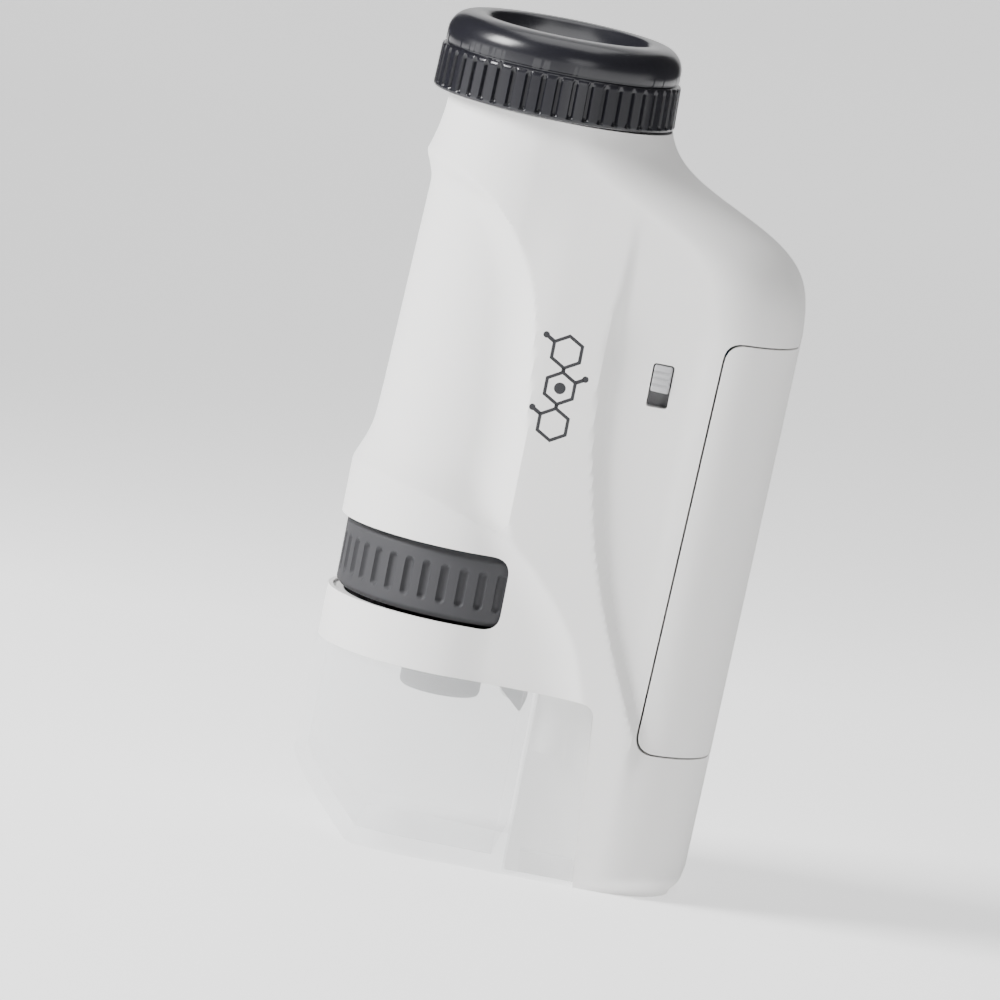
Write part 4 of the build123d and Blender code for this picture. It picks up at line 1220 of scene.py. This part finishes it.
# ------------------------------------------------------------------ settings
class CasingSettings(bpy.types.PropertyGroup):
    """How the casing and its battery cover are built."""

    rows: IntProperty(
        name="Rows", description="Rows of faces from the foot to the neck", default=230, min=40
    )
    columns: IntProperty(
        name="Columns", description="Columns of faces round one half", default=150, min=30
    )
    seam: FloatProperty(
        name="Seam", description="Gap between the two halves", default=0.05 * MM, unit="LENGTH"
    )
    window_corner: FloatProperty(
        name="Window corner",
        description="Corner radius of the wheel window",
        default=2.25 * MM,
        unit="LENGTH",
    )
    cover_gap: FloatProperty(
        name="Cover gap",
        description="Gap round the battery cover",
        default=0.24 * MM,
        unit="LENGTH",
    )
    cover_corner: FloatProperty(
        name="Cover corner",
        description="Corner radius of the battery cover",
        default=2.5 * MM,
        unit="LENGTH",
    )


class EyepieceSettings(bpy.types.PropertyGroup):
    """How the eyepiece cap is built."""

    grooves: IntProperty(
        name="Grooves", description="Grooves round the grip band", default=48, min=8
    )
    groove_depth: FloatProperty(
        name="Groove depth", description="Depth of a groove", default=0.42 * MM, unit="LENGTH"
    )
    band_height: FloatProperty(
        name="Band height", description="Height of the grip band", default=5.6 * MM, unit="LENGTH"
    )


class WheelSettings(bpy.types.PropertyGroup):
    """How the focus wheel is built."""

    grooves: IntProperty(
        name="Grooves", description="Finger grooves round the wheel", default=40, min=8
    )
    groove_length: FloatProperty(
        name="Groove length", description="Length of a groove", default=4.6 * MM, unit="LENGTH"
    )
    groove_width: FloatProperty(
        name="Groove width", description="Width of a groove", default=0.95 * MM, unit="LENGTH"
    )
    groove_depth: FloatProperty(
        name="Groove depth", description="Depth of a groove", default=0.5 * MM, unit="LENGTH"
    )


class ObjectiveSettings(bpy.types.PropertyGroup):
    """How the objective barrel is built."""

    nose_round: FloatProperty(
        name="Nose rounding",
        description="Radius round the nose's end",
        default=0.8 * MM,
        unit="LENGTH",
    )


class BaseSettings(bpy.types.PropertyGroup):
    """How the clear base is built."""

    wall: FloatProperty(
        name="Wall", description="Thickness of the clear wall", default=1.6 * MM, unit="LENGTH"
    )
    floor: FloatProperty(
        name="Floor", description="Thickness of the clear floor", default=2.0 * MM, unit="LENGTH"
    )


class LampSettings(bpy.types.PropertyGroup):
    """How the lamp is built."""

    length: FloatProperty(
        name="Length", description="Length of the lamp's body", default=3.2 * MM, unit="LENGTH"
    )


class SwitchSettings(bpy.types.PropertyGroup):
    """How the light switch is built."""

    ridge_pitch: FloatProperty(
        name="Ridge pitch",
        description="Distance between grip notches",
        default=0.8 * MM,
        unit="LENGTH",
    )


class ScrewSettings(bpy.types.PropertyGroup):
    """How the screws are built."""

    cross: FloatProperty(
        name="Cross", description="Width of the cross recess", default=2.6 * MM, unit="LENGTH"
    )


class MarkSettings(bpy.types.PropertyGroup):
    """How the printed figure is drawn."""

    ring_radius: FloatProperty(
        name="Ring radius", description="Radius of a ring", default=2.05 * MM, unit="LENGTH"
    )
    line_width: FloatProperty(
        name="Line width", description="Width of the printed lines", default=0.5 * MM, unit="LENGTH"
    )


class FinishSettings(bpy.types.PropertyGroup):
    """Main colours of the toy."""

    white: FloatVectorProperty(
        name="White", description="Colour of the casing", subtype="COLOR", default=(0.82, 0.81, 0.8)
    )
    white_roughness: FloatProperty(
        name="Casing roughness", description="How matt the casing is", default=0.38
    )
    black: FloatVectorProperty(
        name="Black",
        description="Colour of the eyepiece",
        subtype="COLOR",
        default=(0.003, 0.003, 0.0035),
    )
    charcoal: FloatVectorProperty(
        name="Charcoal",
        description="Colour of the wheel",
        subtype="COLOR",
        default=(0.012, 0.012, 0.0135),
    )
    dark_grey: FloatVectorProperty(
        name="Dark grey",
        description="Colour of the nose",
        subtype="COLOR",
        default=(0.045, 0.045, 0.047),
    )


class StageSettings(bpy.types.PropertyGroup):
    """How the toy is lit and seen."""

    floor_reach: FloatProperty(
        name="Floor reach", description="How far the floor runs back", default=3.0, unit="LENGTH"
    )
    floor_bend: FloatProperty(
        name="Floor bend", description="Radius of the sweep", default=1.2, unit="LENGTH"
    )
    paper: FloatVectorProperty(
        name="Paper", description="Colour of the floor", subtype="COLOR", default=(0.93, 0.93, 0.93)
    )
    paper_glow: FloatProperty(
        name="Paper glow", description="How much the floor shines by itself", default=0.8
    )
    card_size: FloatVectorProperty(
        name="Card size", description="Size of a dark card", size=2, default=(0.7, 0.9)
    )
    card_place: FloatVectorProperty(
        name="Card place",
        description="Place of the right card",
        subtype="XYZ",
        default=(0.3, 0.5, 0.3),
    )
    fill: FloatProperty(name="Fill", description="Strength of the surrounding light", default=0.14)
    key: FloatProperty(name="Key", description="Power of the key light in watts", default=22.0)
    side: FloatProperty(name="Side", description="Power of the side light in watts", default=2.0)
    top: FloatProperty(name="Top", description="Power of the top light in watts", default=6.0)
    target: FloatVectorProperty(
        name="Target",
        description="Point the camera looks at",
        subtype="XYZ",
        default=(0.0030, 0.0, 0.0444),
    )
    distance: FloatProperty(
        name="Distance", description="Camera distance", default=1.5, unit="LENGTH"
    )
    focal: FloatProperty(
        name="Focal length", description="Focal length in millimetres", default=426.0
    )
    azimuth: FloatProperty(
        name="Azimuth",
        description="Camera turn about the upright axis",
        default=radians(3.0),
        subtype="ANGLE",
    )
    elevation: FloatProperty(
        name="Elevation", description="Camera height angle", default=radians(8.1), subtype="ANGLE"
    )
    roll: FloatProperty(
        name="Roll", description="Camera roll", default=radians(11.2), subtype="ANGLE"
    )


# ------------------------------------------------------------------ operators
class MICROSCOPE_OT_casing(bpy.types.Operator):
    """Build both halves of the casing"""

    bl_idname = "microscope.casing"
    bl_label = "Casing"

    def execute(self, context):
        build_casing(context.scene.microscope_casing)
        return {"FINISHED"}


class MICROSCOPE_OT_cover(bpy.types.Operator):
    """Build the battery cover"""

    bl_idname = "microscope.cover"
    bl_label = "Battery cover"

    def execute(self, context):
        build_cover(context.scene.microscope_casing)
        return {"FINISHED"}


class MICROSCOPE_OT_eyepiece(bpy.types.Operator):
    """Build the eyepiece cap"""

    bl_idname = "microscope.eyepiece"
    bl_label = "Eyepiece"

    def execute(self, context):
        build_eyepiece(context.scene.microscope_eyepiece)
        return {"FINISHED"}


class MICROSCOPE_OT_wheel(bpy.types.Operator):
    """Build the focus wheel"""

    bl_idname = "microscope.wheel"
    bl_label = "Focus wheel"

    def execute(self, context):
        build_wheel(context.scene.microscope_wheel)
        return {"FINISHED"}


class MICROSCOPE_OT_objective(bpy.types.Operator):
    """Build the objective barrel"""

    bl_idname = "microscope.objective"
    bl_label = "Objective"

    def execute(self, context):
        build_objective(context.scene.microscope_objective)
        return {"FINISHED"}


class MICROSCOPE_OT_base(bpy.types.Operator):
    """Build the clear base"""

    bl_idname = "microscope.base"
    bl_label = "Clear base"

    def execute(self, context):
        build_base(context.scene.microscope_base)
        return {"FINISHED"}


class MICROSCOPE_OT_lamp(bpy.types.Operator):
    """Build the lamp and its bracket"""

    bl_idname = "microscope.lamp"
    bl_label = "Lamp"

    def execute(self, context):
        build_lamp(context.scene.microscope_lamp)
        return {"FINISHED"}


class MICROSCOPE_OT_switch(bpy.types.Operator):
    """Build the light switch"""

    bl_idname = "microscope.switch"
    bl_label = "Light switch"

    def execute(self, context):
        build_switch(context.scene.microscope_switch)
        return {"FINISHED"}


class MICROSCOPE_OT_screws(bpy.types.Operator):
    """Build the casing's screws"""

    bl_idname = "microscope.screws"
    bl_label = "Screws"

    def execute(self, context):
        build_screws(context.scene.microscope_screws)
        return {"FINISHED"}


class MICROSCOPE_OT_mark(bpy.types.Operator):
    """Print the figure on the casing's side"""

    bl_idname = "microscope.mark"
    bl_label = "Printed figure"

    def execute(self, context):
        build_mark(context.scene.microscope_mark)
        return {"FINISHED"}


class MICROSCOPE_OT_inside(bpy.types.Operator):
    """Finish the lenses, tube, battery and electric parts inside"""

    bl_idname = "microscope.inside"
    bl_label = "Inside"

    def execute(self, context):
        finish_inner_nodes()
        return {"FINISHED"}


class MICROSCOPE_OT_stage(bpy.types.Operator):
    """Build the floor, the lights and the camera"""

    bl_idname = "microscope.stage"
    bl_label = "Stage"

    def execute(self, context):
        settings = context.scene.microscope_stage
        build_floor(settings)
        build_card("left_card", -1, settings)
        build_card("right_card", 1, settings)
        build_lights(settings)
        build_camera(settings)
        return {"FINISHED"}


SETTINGS = {
    "microscope_casing": CasingSettings,
    "microscope_eyepiece": EyepieceSettings,
    "microscope_wheel": WheelSettings,
    "microscope_objective": ObjectiveSettings,
    "microscope_base": BaseSettings,
    "microscope_lamp": LampSettings,
    "microscope_switch": SwitchSettings,
    "microscope_screws": ScrewSettings,
    "microscope_mark": MarkSettings,
    "microscope_finish": FinishSettings,
    "microscope_stage": StageSettings,
}
OPERATORS = [
    MICROSCOPE_OT_casing,
    MICROSCOPE_OT_cover,
    MICROSCOPE_OT_eyepiece,
    MICROSCOPE_OT_wheel,
    MICROSCOPE_OT_objective,
    MICROSCOPE_OT_base,
    MICROSCOPE_OT_lamp,
    MICROSCOPE_OT_switch,
    MICROSCOPE_OT_screws,
    MICROSCOPE_OT_mark,
    MICROSCOPE_OT_inside,
    MICROSCOPE_OT_stage,
]


class MICROSCOPE_PT_panel(bpy.types.Panel):
    """Lists the steps that build the microscope"""

    bl_idname = "MICROSCOPE_PT_panel"
    bl_label = "Microscope"
    bl_space_type = "VIEW_3D"
    bl_region_type = "UI"
    bl_category = "Microscope"

    def draw(self, context):
        for operator in OPERATORS:
            self.layout.operator(operator.bl_idname)


def register():
    """Register the settings, operators and panel."""
    for name, group in SETTINGS.items():
        bpy.utils.register_class(group)
        setattr(bpy.types.Scene, name, PointerProperty(type=group))
    for operator in OPERATORS:
        bpy.utils.register_class(operator)
    bpy.utils.register_class(MICROSCOPE_PT_panel)


def unregister():
    """Remove the settings, operators and panel."""
    bpy.utils.unregister_class(MICROSCOPE_PT_panel)
    for operator in reversed(OPERATORS):
        bpy.utils.unregister_class(operator)
    for name, group in reversed(SETTINGS.items()):
        delattr(bpy.types.Scene, name)
        bpy.utils.unregister_class(group)


def main():
    """Build everything in order."""
    register()
    for operator in OPERATORS:
        group, step = operator.bl_idname.split(".")
        getattr(getattr(bpy.ops, group), step)()


if __name__ == "__main__":
    main()
